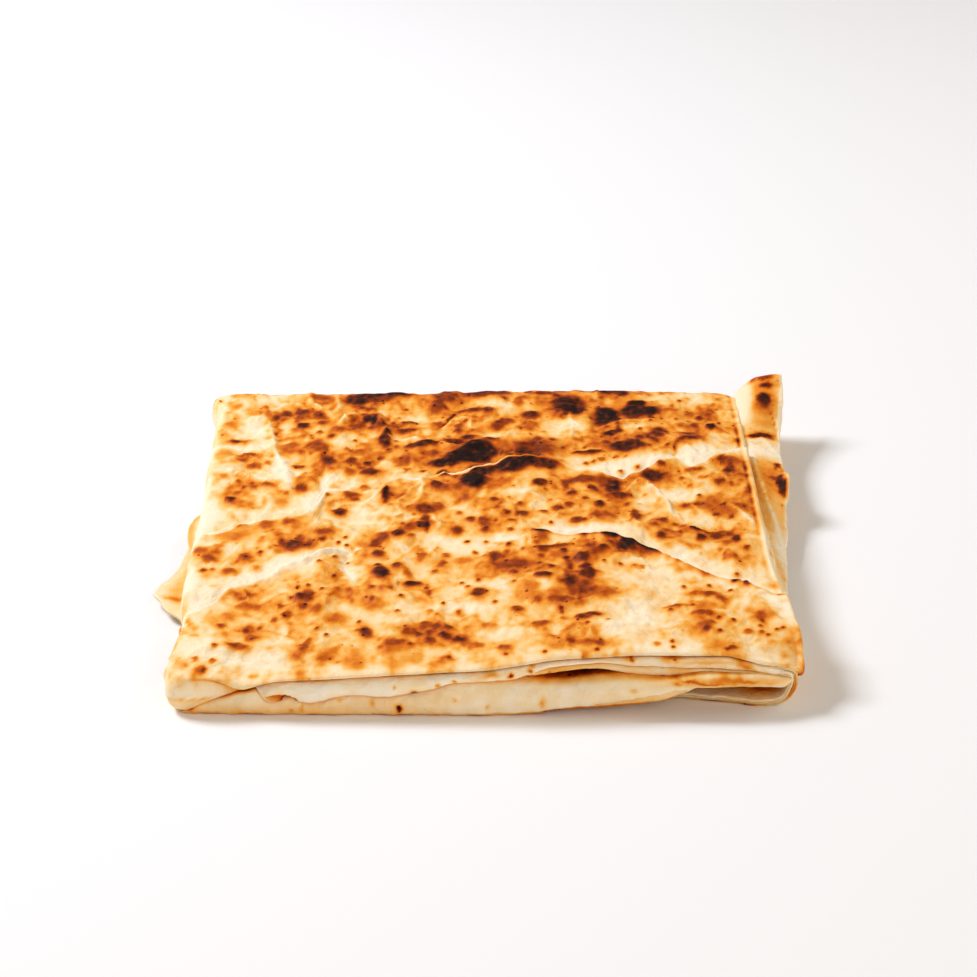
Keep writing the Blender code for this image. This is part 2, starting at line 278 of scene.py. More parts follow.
def side_shares(x, y):
    """How far a place lies from the left edge to the right one, and from the front edge to the back one."""
    u = np.clip((x - LEFT_EDGE(y)) / (RIGHT_EDGE(y) - LEFT_EDGE(y)), 0, 1)
    v = np.clip((y - FRONT_EDGE(x)) / (BACK_EDGE(x) - FRONT_EDGE(x)), 0, 1)
    return u, v


def smooth_height(x, y, step_shares=None):
    """Height of the top before it blisters and wrinkles; step_shares: how much of both steps lies below."""
    if step_shares is None:
        step_shares = ramp(FRONT_FLAP(x) - y, -1, 1), ramp(MIDDLE_FLAP(x) - y, -1, 1)
    u, v = side_shares(x, y)
    (front_left, back_left), (front_right, back_right) = CORNER_HEIGHTS
    height = (1 - v) * ((1 - u) * front_left + u * front_right) + v * ((1 - u) * back_left + u * back_right)
    height = height + SWELL * np.sqrt(16 * u * (1 - u) * v * (1 - v))
    height = height + FRONT_FLAP_STEP(x) * step_shares[0] + MIDDLE_FLAP_STEP(x) * step_shares[1]
    near_rim = 1 - ramp(y - FRONT_EDGE(x), 2, 17)
    return height + near_rim * (FRONT_RIM(x) - height)


print("smooth height in the middle, mm:", smooth_height(np.array(0.0), np.array(0.0)).round(2))

# %% [markdown]
# ## A drawing of the marks
# The marks, pale places and folds below are drawn from one place, the eye of somebody who sits in front of
# the table, on a level sheet 16 mm up. The packet itself is not level. So each place of the packet is moved
# along the line from that eye until it meets the sheet, and the drawing is looked up there. A texture on an
# unwrapped mesh could carry the drawing too, but lists of a few numbers per mark also raise the blisters.

# %% From the packet to the drawing
EYE, SHEET_HEIGHT = (2.0, -879.0, 414.0), 16.0


def on_drawing(x, y, z):
    """The place on the drawing that belongs to a point of the packet.

    It moves away from the eye by the share (z - sheet height) / (eye height - z) of its distance, which is
    nothing for a point that is as high as the sheet.
    """
    share = (z - SHEET_HEIGHT) / (EYE[2] - z)
    return at_height(x + (x - EYE[0]) * share, y + (y - EYE[1]) * share)


print("a point 2 mm above the sheet moves back by, mm:",
      (on_drawing(np.array(0.0), np.array(0.0), 18.0)[1]).round(2))

# %% [markdown]
# ## Browning
# Dough browns where it touches the griddle, and it touches where it blisters. Every place gets a heat
# between 0, raw cream, and 1, burnt black. It comes from four layers, from broad to fine: golden areas,
# scorches with a dark core, small round spots, and dots no wider than a match. Each is an ellipse that fades
# out, and noise frays its rim, because a plain ellipse would look stamped.
#
# Painting the mesh by hand is the usual way, but a list can be corrected mark by mark, and the shape can use
# it as well. The golden areas are as wide as a thumb: there the sheet lay on the griddle without burning.

# %% Golden areas
# x, y, half width, half length, turn in degrees if it is turned, heat.
GOLDEN = [
    (-66, 88, 9, 8, .56), (-53, 84, 7, 9, 30, .5), (-43, 77, 8, 6, .64), (-55, 50, 8, 8, .52),
    (-45, 40, 10, 5, .54), (-22, 48, 9, 8, .66), (-78, 46, 7, 5, .52), (-72, 24, 9, 3.5, -25, .46),
    (-82, 13, 4, 8, .44), (-60, 21, 5, 8, 20, .5), (-28, 17, 6, 8, .5), (-12, 20, 7, 9, .55),
    (-12, 97, 9, 9, .55), (-7, 78, 8, 9, .5), (6, 78, 7, 8, .5), (-71, 66, 2.5, 16, 8, .5),
    (-39, 97, 12, 8, .52), (-30, 76, 6, 7, .46), (-36, 55, 6, 8, .46), (17, 80, 7, 9, .5),
    (30, 93, 10, 9, .6), (43, 80, 6, 9, .6), (55, 88, 9, 8, .56), (46, 62, 14, 6, .6), (10, 57, 16, 7, .68),
    (60, 66, 6, 8, .6), (74, 66, 8, 9, .46), (74, 87, 8, 8, .5), (84, 90, 6, 16, .36), (32, 56, 8, 5, .5),
    (82, 42, 8, 7, .56), (80, 20, 8, 12, .42), (58, 29, 5, 8, .6), (40, 24, 9, 11, .58),
    (28, 22, 10, 11, .5), (12, 9, 12, 6, .46), (30, 6, 14, 7, .46), (78, 4, 7, 6, .58), (67, 9, 9, 3, .5),
    (49, 28, 4, 6, .54), (3, 28, 5, 6, .6), (50, 104, 9, 4, .55), (68, 38, 10, 6, .5), (45, 4, 9, 6, .46),
    (-74, -11, 10, 7, .52), (-60, -8, 6, 7, .46), (-57, -20, 8, 6, 20, .54), (-86, -30, 6, 5, -20, .56),
    (-74, -31, 4.5, 5, .52), (-82, -42, 7, 3, .42), (-69, -58, 6, 9, 25, .56), (-42, -55, 9, 5, .56),
    (-55, -63, 8, 9, .46), (-68, -80, 10, 11, .46), (-52, -93, 5, 9, .42), (-44, -75, 5, 6, .52),
    (-33, -64, 5, 7, .56), (-34, -84, 3.5, 6, .48), (-25, -92, 6, 5, .56), (-13, -84, 9, 8, .54),
    (-20, -55, 8, 9, .56), (-30, -39, 6, 9, .52), (-36, -21, 5, 9, -20, .56), (-9, -38, 12, 9, .44),
    (-22, -11, 9, 4, 20, .54), (-8, -8, 5, 6, .5), (-50, -12, 5, 5, 30, .5), (-60, -100, 12, 4, .3),
    (-14, -102, 16, 3, 3, .46), (10, -36, 10, 7, .6), (31, -40, 7, 14, .6), (23, -28, 9, 6, .56),
    (45, -23, 10, 5, -25, .58), (27, -57, 12, 6, .6), (14, -55, 4, 8, 10, .56), (0, -5, 5, 9, .48),
    (60, -8, 7, 10, .54), (75, -14, 9, 7, -15, .6), (80, -28, 6, 12, .46), (68, -57, 8, 5, -30, .52),
    (66, -74, 6, 9, .5), (82, -77, 8, 7, .46), (8, -93, 13, 4, .42), (30, -90.5, 10, 3, .54),
    (19, -77, 7, 4, .48), (72, -92, 7, 4, .42), (47, -37, 6, 5, .46), (56, -65, 5, 4, .5),
    (35, -27, 8, 5, .6), (89, -92, 5, 11, .34), (84, -88, 7, 5, .4), (76, -88, 6, 3, .4),
    (52, -78, 6, 3, .34), (20, -88, 8, 4, .4), (-2, -80, 7, 5, .42), (-72, -70, 6, 8, 20, .5),
    (-58, -49, 9, 6, 35, .46), (-46, -43, 5, 8, .42), (-60, -80, 10, 8, .4), (-35, -101, 14, 4, .5),
    (-44, -84, 8, 8, .36), (20, -68, 12, 6, .42), (52, -60, 12, 12, .36), (44, -90, 12, 5, .34),
    (86, 24, 4, 30, .36), (-8, -92, 14, 6, .38), (70, -84, 12, 5, .36),
]
print("golden areas:", len(GOLDEN))

# %% [markdown]
# A scorch is the crown of a blister that pressed on the iron. Its core is brown to black, and a ring of
# orange round it shows how the heat fell off. Only the core's heat is listed: the ring follows from it.

# %% Scorches
# x, y, half width, half length, turn if it is turned, heat of the core.
SCORCHES = [
    (-44, 99, 4.5, 4, .94), (-35, 103, 10, 2, 3, .94), (-37, 100, 6, 2.5, 20, .86),
    (-58, 101, 3.5, 2.5, .76), (-61.7, 75.3, 2, 2.4, .9), (-68.3, 88, 1.7, 2.2, .86),
    (-57, 86, 1.8, 2, .82), (-33.3, 62, 1.7, 5, 4, .93), (-42.5, 75.3, 2.2, 2.2, .78),
    (-36, 74.5, 1.4, 2.6, .78), (-25.4, 78.7, 2.6, 1.7, .84), (-26.7, 72, 3, 1.7, 15, .86),
    (-56, 57, 2, 4.5, .74), (-52, 45.3, 1.6, 3, .84), (-44, 45.3, 1.6, 2.6, .83), (-37.5, 36, 3, 2.6, .84),
    (-26.7, 46.2, 2.2, 3.6, -8, .76), (-22.5, 58.7, 3.2, 2, .94), (-18, 59.5, 2.8, 2, .93),
    (-17.5, 52, 3, 2.2, .8), (-13.3, 42.8, 4.6, 3.6, .98), (-5.8, 48.7, 6.5, 4.6, 25, 1),
    (-1, 54.5, 5, 6.5, 15, 1), (-2.5, 46.8, 4.5, 3.4, 1), (-10, 62.8, 3.2, 1.8, .87),
    (-5, 65.5, 2, 1.6, .86), (-12.5, 101, 3.6, 3.6, .8), (-16, 93.5, 2, 4.5, .8), (-4.6, 90, 4.5, 1.7, .84),
    (-1.2, 104, 5, 2, .85), (-79, 48.4, 3.2, 1.7, 10, .78), (-76.3, 39.5, 2.4, 2.4, .8),
    (-83, 62, 3.4, 1.7, .75), (-70.4, 24.3, 2.4, 1.3, -10, .84), (-59.6, 22.4, 1.7, 3.2, .82),
    (-61.7, 40.5, 2.1, 1.7, .83), (-2.8, 27.2, 4.4, 5.6, .98), (-.4, 36, 3.8, 4.4, 20, .97),
    (-15, 22.8, 1.9, 3, .86), (-8, 21.6, 1.8, 2.6, .75), (-18, 4.5, 3.2, 3, .83), (-31.7, 16, 1.3, 5, .82),
    (-43, 17, 2.5, 2.2, -20, .82), (-46, 3, 2, 2.4, .88), (3, 103.7, 5.5, 1.7, 5, .84),
    (21.7, 104.5, 3.6, 1.5, 10, .82), (12.5, 98, 1.6, 3.6, .74), (16.5, 86, 3.2, 3.4, -10, .88),
    (5.6, 77, 2, 3.7, -20, .86), (9, 80, 2.2, 1.7, 20, .84), (30.5, 95.5, 4.8, 7, .92),
    (32.5, 89.5, 3, 3.6, .95), (24, 90.5, 2.6, 2, .74), (43, 86, 3.8, 6, 1), (41.8, 80.5, 2.8, 3.6, .95),
    (44, 107, 6, 2, -12, .86), (49.5, 104, 1.8, 2.2, .93), (53.8, 94.6, 3, 2.2, .98),
    (52.5, 88.5, 4, 5.6, .96), (57.6, 87.5, 3.4, 3.4, -20, .96), (44.6, 69.5, 3.2, 1.7, 15, .9),
    (60.6, 69, 2.5, 4.2, 8, .9), (48.6, 56.2, 5.8, 4.2, -4, .96), (35.6, 52.8, 4.8, 1.7, -3, .94),
    (38.3, 59.5, 3, 2.4, .75), (16.8, 54.8, 6.4, 7.2, .81), (3, 62.8, 2.4, 1.8, .86),
    (8.5, 39.6, 6.2, 4.8, 10, .98), (12, 43, 7, 3, 4, .97), (20.5, 41, 4.8, 3.2, -20, .92),
    (70.4, 62.8, 3, 1.6, 15, .87), (56, 31.8, 2.9, 4.2, .93), (81.7, 46.2, 3, 2.6, .78),
    (82, 37, 1.7, 2.7, .93), (78.3, 26.2, 2, 1.8, .84), (71.2, 37.8, 2.5, 1.2, .83),
    (69.2, 9.3, 2.6, 1.1, -10, .83), (79, 4.5, 4.4, 3.6, .7), (18.8, 26.6, 2.3, 2.4, .91),
    (33, 28, 5.4, 2.4, .83), (36.2, 21.2, 1.3, 2.6, 20, .87), (42, 27, 4, 3, -30, .78),
    (45, 16.2, 2.8, 2, .85), (38.3, 1.5, 3.6, 3.2, .76), (-78, -15.5, 2.6, 2.2, .66),
    (-69, -6.7, 2.2, 3, .76), (-58.5, -21, 3.4, 2.6, 15, .8), (-50.8, -11.4, 2.6, 2, 30, .81),
    (-89.6, -26, 2, 3, 35, .7), (-85, -31.7, 2.2, 2.2, .77), (-74.2, -30, 1.9, 2.6, .8),
    (-54.2, -59, 2.4, 2.6, .85), (-70.8, -65.6, 3, 2, .7), (-71.7, -93, 3, 2, -15, .79),
    (-69.2, -81.7, 1.7, 2.8, .77), (-58.5, -71, 1.4, 2.2, -20, .8), (-43.8, -73.9, 2.6, 2.8, .67),
    (-51.8, -91, 1, 4.2, -10, .75), (-54, -99, 1.3, 2.2, .68), (-34.2, -83.3, 1.7, 3, 15, .85),
    (-26, -91, 2.6, 2.2, .77), (-26.4, -94.6, 3, 2.4, .66), (-31.2, -42, 2.3, 3.7, -8, .98),
    (-21.2, -48.8, 2.6, 1.9, .91), (-33.3, -20, 1.7, 3.4, -25, .8), (-32.5, -28, 1.7, 2.2, .83),
    (-26.7, -13.8, 1.9, 2.1, .93), (-19.2, -8, 1.9, 1.9, .91), (-18.3, -2.5, 1.3, 3, .8),
    (-23.2, -40.5, 1.2, 4, 20, .74), (-8, -10.4, 1.7, 2.9, .86), (-5.8, -33, 3, 2.4, .67),
    (-12.5, -35.8, 1.3, 2.7, -12, .79), (-18.8, -30.4, 1.2, 3.6, .73), (-33.3, -64, 2.4, 4, .67),
    (.5, -4.2, 1.7, 2.8, .81), (30.8, -2.5, 2.4, 1.9, .87), (49.4, .6, 1.5, 3.8, .86),
    (57, -15, 1.4, 2.4, .85), (69.4, -16.6, 1.6, 2.4, .88), (74.6, -14.6, 2.2, 1.8, .83),
    (80.4, -17.5, 1.3, 2.2, .93), (68.3, -10.6, 2.4, .8, -35, .86), (18, -11.9, 2.6, 1.4, -15, .85),
    (18.8, -16, 1.8, 3, .74), (40.6, -17.2, 2.2, 1.7, -30, .87), (45.6, -23.8, 2.6, 3.2, .94),
    (51, -26, 4, 2.2, -15, .78), (22.5, -22.8, 5, 1.2, 8, .83), (24, -28, 2.5, 3, .7),
    (31.2, -32.5, 2.1, 2.5, .87), (35.5, -27.6, 3.2, 2.6, .72), (32, -38.5, 1.5, 2, -20, .89),
    (32.6, -43.6, 1.8, 3.8, .89), (29.6, -52.5, 3.8, 5, 20, .77), (36, -56.7, 4.6, 2.8, 15, .7),
    (23.5, -61.8, 3.6, 2, .77), (10.4, -35.6, 5.8, 3, 8, .78), (3.8, -28.8, 1.6, 2.6, 20, .8),
    (18.8, -45.8, 2.7, 1.5, .89), (13.7, -55.5, 2.4, 6.5, 15, .64), (31.7, -73, 3.5, 1.8, 14, .9),
    (18, -77.4, 2.6, 1.8, 30, .76), (30.4, -90, 4, 1.3, .7), (69.6, -57.5, 2, 1.7, .83),
    (72.6, -61, 1.2, 2.8, 25, .77), (58, -64.8, 2.6, 1.2, .75), (66.4, -71.2, 3, 1.4, .76),
    (67, -79.5, 1.6, 3, .72), (73.6, -93.8, 1.2, 1.2, .78), (63.5, -99, 3, .8, .68),
]
print("scorches:", len(SCORCHES))

# %% [markdown]
# Spots are the small round bubbles that rise all over a thin sheet, and dots are the pinholes where such a
# bubble has burst. Both are near enough round to need no more than a place, a size and a heat.

# %% Spots and dots
# x, y, radius, heat.
SPOTS = [
    (-86, 93, 1.3, .58), (-88, 96, 1, .5), (-76, 92.5, 1, .72), (-74.5, 85.5, .9, .68), (-80.4, 88, 1, .52),
    (-82.5, 104, 2.2, .52), (-87, 76, 2, .6), (-88.7, 66.5, 1.2, .52), (-90, 71, .9, .46),
    (-84.5, 61.5, 1.1, .84), (-87.5, 48, 2.2, .52), (-85.4, 51, 1.3, .5), (-71.7, 42, 1.1, .73),
    (-80, 32, 1.6, .62), (-76.5, 32, 1.1, .6), (-80.5, 27, .9, .78), (-75.2, 22.7, 1, .73),
    (-80.2, 18.2, .9, .77), (-82, 12.6, 1.6, .88), (-78.3, 10.3, 1, .64), (-64.2, 18.5, .7, .72),
    (-65.4, 12, 2, .6), (-60.8, 30, .6, .62), (-64.6, 57.4, 1.9, .7), (-70.4, 66.2, .8, .67),
    (-64, 73, 1.1, .64), (-63.3, 87.6, 1.5, .83), (-55.4, 77.8, 1.4, .81), (-55, 106.4, .9, .8),
    (-55.8, 69, 1, .78), (-51.6, 64.8, 1.2, .82), (-58.6, 66.2, .8, .76), (-58.3, 63.6, .7, .74),
    (-49.2, 71.2, 1.7, .73), (-46, 81.5, 1, .76), (-39.8, 81.2, 1.4, .93), (-38.7, 74, 1, .77),
    (-32.9, 68.7, 1.4, .89), (-31.8, 54.8, 1.2, .8), (-29.6, 63.7, .8, .72), (-29.2, 58.7, 1, .79),
    (-39.2, 59, 1.2, .62), (-41.7, 54, 1.2, .73), (-45.8, 54.5, .8, .7), (-53.3, 53.7, 1.3, .77),
    (-38.8, 43.5, 1.1, .86), (-44.3, 36.6, 1.5, .75), (-34.2, 48.7, 1, .77), (-36.7, 52, 1.6, .62),
    (-22.5, 46.2, 1.2, .74), (-25, 38, 1, .75), (-19.8, 35.8, 1, .81), (-13, 33.3, 2, .89),
    (-8.8, 30.8, 1.1, .82), (-8.3, 53.7, 2.4, .72), (-8.3, 76.6, 1.3, .82), (-3, 83.2, 1, .71),
    (-8, 82.8, .8, .66), (-1.2, 72, 1.8, .66), (-12.5, 20, 1.6, .73), (-14.2, 7, 1.9, .76),
    (-7.5, 2.4, 1, .72), (-26, 17, 1, .71), (-41.7, 13.8, 1.4, .8), (-38.8, 24, 1.4, .71),
    (-35.4, 23, .8, .71), (7.5, 99, .8, .77), (14.3, 100.7, 1.1, .76), (16, 105.7, 1.2, .8),
    (25.8, 102.8, 1.1, .85), (1.7, 89, 1.8, .83), (11.5, 84.3, .9, .7), (4.6, 85.3, .8, .62),
    (17.5, 77.8, 1.5, .75), (16, 73.7, 1.5, .75), (21, 71, .8, .64), (-4.2, 65.8, 1.3, .85),
    (42, 95, 1, .66), (47.3, 80.3, 1.1, .89), (45.4, 63.7, 1, .79), (53.7, 64, 1.5, .86),
    (42, 61.3, 1.4, .85), (58.7, 62, 1.5, .85), (19, 63.8, 1.7, .82), (24, 62, 1.2, .77),
    (6.7, 59.5, 2.2, .76), (40, 47, 1.2, .79), (34.8, 44.5, .8, .76), (37.3, 45.3, .8, .72),
    (45, 48, .8, .72), (48, 47.8, .8, .73), (46.5, 37.2, .9, .82), (51.7, 40.3, .8, .76),
    (62.7, 56.6, .9, .81), (58.7, 52, .8, .46), (61.7, 51.2, .8, .5), (73.7, 64, 1.6, .75),
    (78.3, 73.7, 1.5, .93), (73, 75.7, 1.4, .81), (71, 71.6, 1.7, .67), (75, 83.2, 1.3, .87),
    (72, 87.4, 1.6, .77), (72, 101, .7, .57), (82.7, 99, .8, .66), (81.2, 105.7, .9, .7),
    (65.4, 107, .8, .62), (59.6, 40, 1.3, .85), (60.4, 34, .9, .77), (77, 45, .8, .79),
    (85, 44.5, 1.7, .73), (81.7, 25, .8, .76), (68.3, 35.6, 1, .76), (65.8, 30, .9, .76),
    (68.2, 24.5, .8, .72), (73.7, 30, .8, .76), (65.8, 9, 1, .83), (78.3, 8.4, .9, .86),
    (75.4, .8, 1.1, .83), (86.2, 5, .8, .62), (23.8, 24.5, 1.1, .68), (29.2, 17.8, 1.6, .86),
    (22, 13.7, .9, .7), (28.3, 9, 1.4, .84), (24.2, 6.6, 1.8, .83), (40.8, 14.5, 1, .72), (38, 9, 1.5, .89),
    (33.6, 12.8, 1, .79), (47, 10.3, 1, .79), (3.8, 12.8, 1.2, .81), (8.6, 15.3, .7, .72),
    (12.3, 10.7, 1, .78), (4.6, 6.2, .8, .73), (8, 3.5, 1.1, .82), (12.8, 2.4, 2, .85), (20, 3.7, 1.1, .79),
    (53.3, 17.8, .6, .68), (-78, -8.3, 1, .8), (-83, -14, 1.7, .6), (-65.4, -12.5, 1.4, .62),
    (-61.7, -5.4, 1.7, .75), (-59.6, -2, 1.8, .6), (-57.5, -16.4, 1.3, .78), (-60.5, -24.2, 1.5, .78),
    (-64.2, -26.2, .9, .64), (-70, -37.5, 1.2, .63), (-86.2, -40.4, 1.1, .77), (-83.6, -40, .8, .73),
    (-79.4, -40.6, 1.4, .72), (-77.4, -40, 1.1, .7), (-85, -44.4, 1.2, .52), (-87.5, -78.3, .8, .56),
    (-85.4, -81.7, .8, .56), (-85, -85.8, 1, .56), (-83.3, -102, .9, .66), (-78.3, -102, 1, .75),
    (-78.5, -94.2, .7, .73), (-81.2, -108, 1.5, .73), (-77.5, -79.6, 1.1, .77), (-75.4, -72.5, 2, .65),
    (-80, -74.2, 1.7, .5), (-76, -85, .9, .62), (-68.3, -87, 1.6, .77), (-67.8, -65.4, .9, .75),
    (-53, -56, 1.6, .77), (-54.2, -64.6, 1.3, .79), (-60.8, -65.4, 1.1, .79), (-50, -67.5, 1.8, .72),
    (-62, -75, .8, .73), (-44.6, -97, 1.6, .6), (-46.2, -100.4, 1.7, .68), (-37, -98.3, 1.7, .56),
    (-36.2, -105.4, 1.9, .62), (-29.8, -94.6, .8, .74), (-30.4, -88, .7, .67), (-22.4, -84, 1.2, .8),
    (-20.8, -84.4, 1.2, .8), (-18.8, -85.6, 1.1, .83), (-20.6, -92.8, 1, .67), (-16.8, -79, 1.7, .77),
    (-13.7, -80, 1.2, .77), (-9.8, -81, 1.4, .83), (-11.8, -86, 1.2, .83), (-10, -86.6, 1.2, .82),
    (-6.7, -87.3, 1.1, .83), (-15, -90, 1.4, .81), (-16.8, -51.7, .7, .72), (-32.5, -36.2, .9, .86),
    (-26.7, -36.2, 1.4, .86), (-31.7, -15.4, 1.7, .81), (-23, -9.2, 1.6, .79), (-22.5, -16.8, 1.2, .73),
    (-11.2, -28.7, 1.1, .73), (-14.6, -40.8, 1, .75), (-3.8, -2.6, 1.3, .83), (-15.7, -69.4, 1, .63),
    (-7, -69.6, .9, .72), (-1.2, -58, 2, .83), (-20, -100.4, 1.7, .56), (-25.4, -105, 2, .56),
    (-14.2, -103.7, 1, .56), (-.8, -91, 1.1, .74), (.8, -10, 1.1, .81), (8.8, -10.8, 1, .81),
    (9.2, -3, .9, .79), (58, -3.3, 1.2, .85), (55, -6.2, 1.2, .79), (61.7, -5.8, .8, .81),
    (64, -7.5, 1, .77), (63, -12.5, .9, .81), (58.7, -21.7, 1.2, .56), (78.7, -12, .8, .77),
    (77.5, -19.6, 1.4, .75), (75, -25, .8, .71), (77, -26.5, .8, .67), (83, -25.4, .9, .81),
    (80, -.8, .8, .83), (17, -20, 1, .73), (25.8, -26, 1.1, .85), (19, -24.6, 1.5, .85),
    (26.2, -31.7, .9, .93), (18.6, -29.6, 1, .81), (17.7, -35, .8, .85), (21.5, -39.3, .8, .85),
    (38, -27, 1.1, .86), (9.6, -41.7, 1.2, .81), (4.2, -44, 1, .64), (.8, -30, .9, .67),
    (47.3, -37.7, 1.1, .69), (49.8, -38.3, .8, .67), (26.2, -45, .7, .72), (24, -50, .8, .73),
    (22.5, -58, 2, .67), (17, -61.7, 1.2, .77), (-.8, -57.5, 2, .85), (10.7, -69.3, 1.5, .77),
    (1.2, -78.3, 1, .67), (3.3, -79.6, 1, .64), (5.8, -93.3, 1, .75), (7.2, -93.2, .8, .75),
    (26.2, -89.3, 1, .79), (35, -90.4, 1.3, .75), (22.5, -92.5, 1.4, .62), (51.7, -91.4, .9, .67),
    (64.8, -56, .9, .77), (66.8, -56, .8, .73), (68.3, -72.5, .9, .81), (67, -66.7, 2, .6),
    (68.8, -77.5, .9, .75), (67, -81.7, 1.1, .83), (83.7, -71.7, 1.6, .72), (83, -82.3, .8, .75),
    (79.2, -81.7, 1, .75), (70, -91, 1.8, .56), (77.5, -49.6, .9, .85), (80.8, -52.3, .8, .77),
    (42.3, -100, .9, .6),
]
SPOT_STRETCH = 1.35  # how much longer than wide a spot is
DOT = (0.6, 0.9, 0.84)  # half width, half length and heat of every dot
# x, y.
DOTS = [
    (-92.6, 99.5), (-43.5, 62.4), (-50.8, 16.2), (-10, 87), (-69.6, -26.7), (-53.3, -50.4), (-56.5, -52.5),
    (-49, -53), (-50.8, -34.2), (-46.2, -31), (-42, -34), (-45.7, -44.6), (-33.3, -60.8), (-33.3, -61.2),
    (-49, -79.8), (-46, -85), (-66.2, -80.4), (-58, -59.2), (-36.7, -76.7), (-45.4, -19.6), (-42.7, -22),
    (-41, -24.2), (-43.5, -16.2), (-24.6, -59.2), (-25.4, -69.7), (-9.6, -100), (-6.2, -49.6),
    (-4.4, -52.3), (-1.2, -48), (-11.7, -65), (-4.6, -18.8), (-2.5, -27), (-21, -92), (-5, -19),
    (1.2, -19.2), (8.3, -21.8), (-2, -27.4), (22, -5.4), (36.2, -15), (12.7, -24.8), (38, -35), (43, -36),
    (27.5, -40), (9.8, -49.6), (4, -63.5), (23.8, -67.5), (37.8, -75.8), (31.4, -77.8), (7, -98),
    (33.8, -94.8), (18.5, -96.5), (56.2, -89.6), (56.2, -93), (61.7, -51.7), (69.6, -51.5), (75.7, -55.6),
    (63.7, -65), (56.8, -67.5), (70.8, -83), (71, -73.7), (75.4, -75.4), (83, -78.3), (84.8, -84.5),
    (87.7, -80.8), (89.6, -80), (78.6, -44), (49.6, 3.7), (70.8, 15), (-1.2, 39.5), (-78.3, 22), (54, 72),
    (67, 80), (69, 98), (58, 79),
]
print("spots:", len(SPOTS), " dots:", len(DOTS))

# %% [markdown]
# Hollows, and dough in the lee of a fold, never touched the griddle. They stay cream, whatever the clouds of
# heat do there, so they are marks that take heat away.

# %% Pale places
# x, y, half width, half length, turn if it is turned, the share of the heat that they lose.
PALE_PLACES = [
    (-79, 76, 5, 10, 14, .9), (-77, 62, 4, 9, 25, .8), (-84, 56, 7, 3, .7), (-67, 36, 3, 14, 12, .92),
    (-84, 36, 6, 3, .6), (-56, 12, 3.6, 9, 8, .9), (-51, 29, 3, 7, -22, .92), (-88, -3, 5, 9, .9),
    (-66, 3, 8, 2.4, 5, .6), (-60, -33, 9, 5, 35, .9), (-88, -50, 6, 14, .9), (-72, -45, 9, 4, 45, .9),
    (-85, -93, 6, 9, .6), (40, 42, 9, 4.5, -25, .9), (52, 44, 8, 5, 30, .9), (71, 51, 5, 6, 30, .9),
    (75, 57, 4, 3, 35, .7), (3, 44.5, 10, 1.8, 28, .85), (-10, 37.2, 6, 1.6, -10, .8), (-7, -66, 9, 4, .8),
    (2, -52, 6, 3, .6), (-41, -42, 2.5, 11, 12, .9), (-45, -27, 3, 3, .8), (31, -9.5, 16, 3.4, .85),
    (63, -26, 8, 3.4, -48, .85), (76, -38, 7, 4, -40, .7), (88, -62, 2.4, 12, 20, .8),
    (52, -102, 40, 3, .6), (-92, 20, 4, 90, .8), (19, -52, 2.2, 4.5, .9), (8, -16, 6, 3, .75),
    (-48, 60, 4.5, 8, -8, .7), (-28, 100, 4, 4, .4), (8, 95, 5, 4, .6), (33, 78, 3.5, 7, .7),
    (55, 76, 7, 3, 20, .6), (60, 99, 9, 4, .6), (3, 68, 6, 3, .8), (-75, 3, 8, 3, .5), (-40, 4, 4, 6, .6),
    (12, 21, 6, 3, 8, .7), (50, 8, 3, 8, -10, .5), (-88, 12, 3, 14, .5), (-48, -88, 4, 5, .5),
    (45, -72, 14, 12, .45), (52, -95, 12, 4, .5), (6, -85, 8, 4, .5), (82, 66, 4, 3, .5),
    (64, -91, 20, 7, .35), (-80, -97, 13, 9, .8), (-62, -102, 12, 5, .7), (70, -3, 6, 5, .6),
    (67, 18, 6, 4, .5), (-58, -90, 5, 5, .5), (-28, 38, 4, 3, .5), (-33, 41, 3, 4, .8),
]
print("pale places:", len(PALE_PLACES))
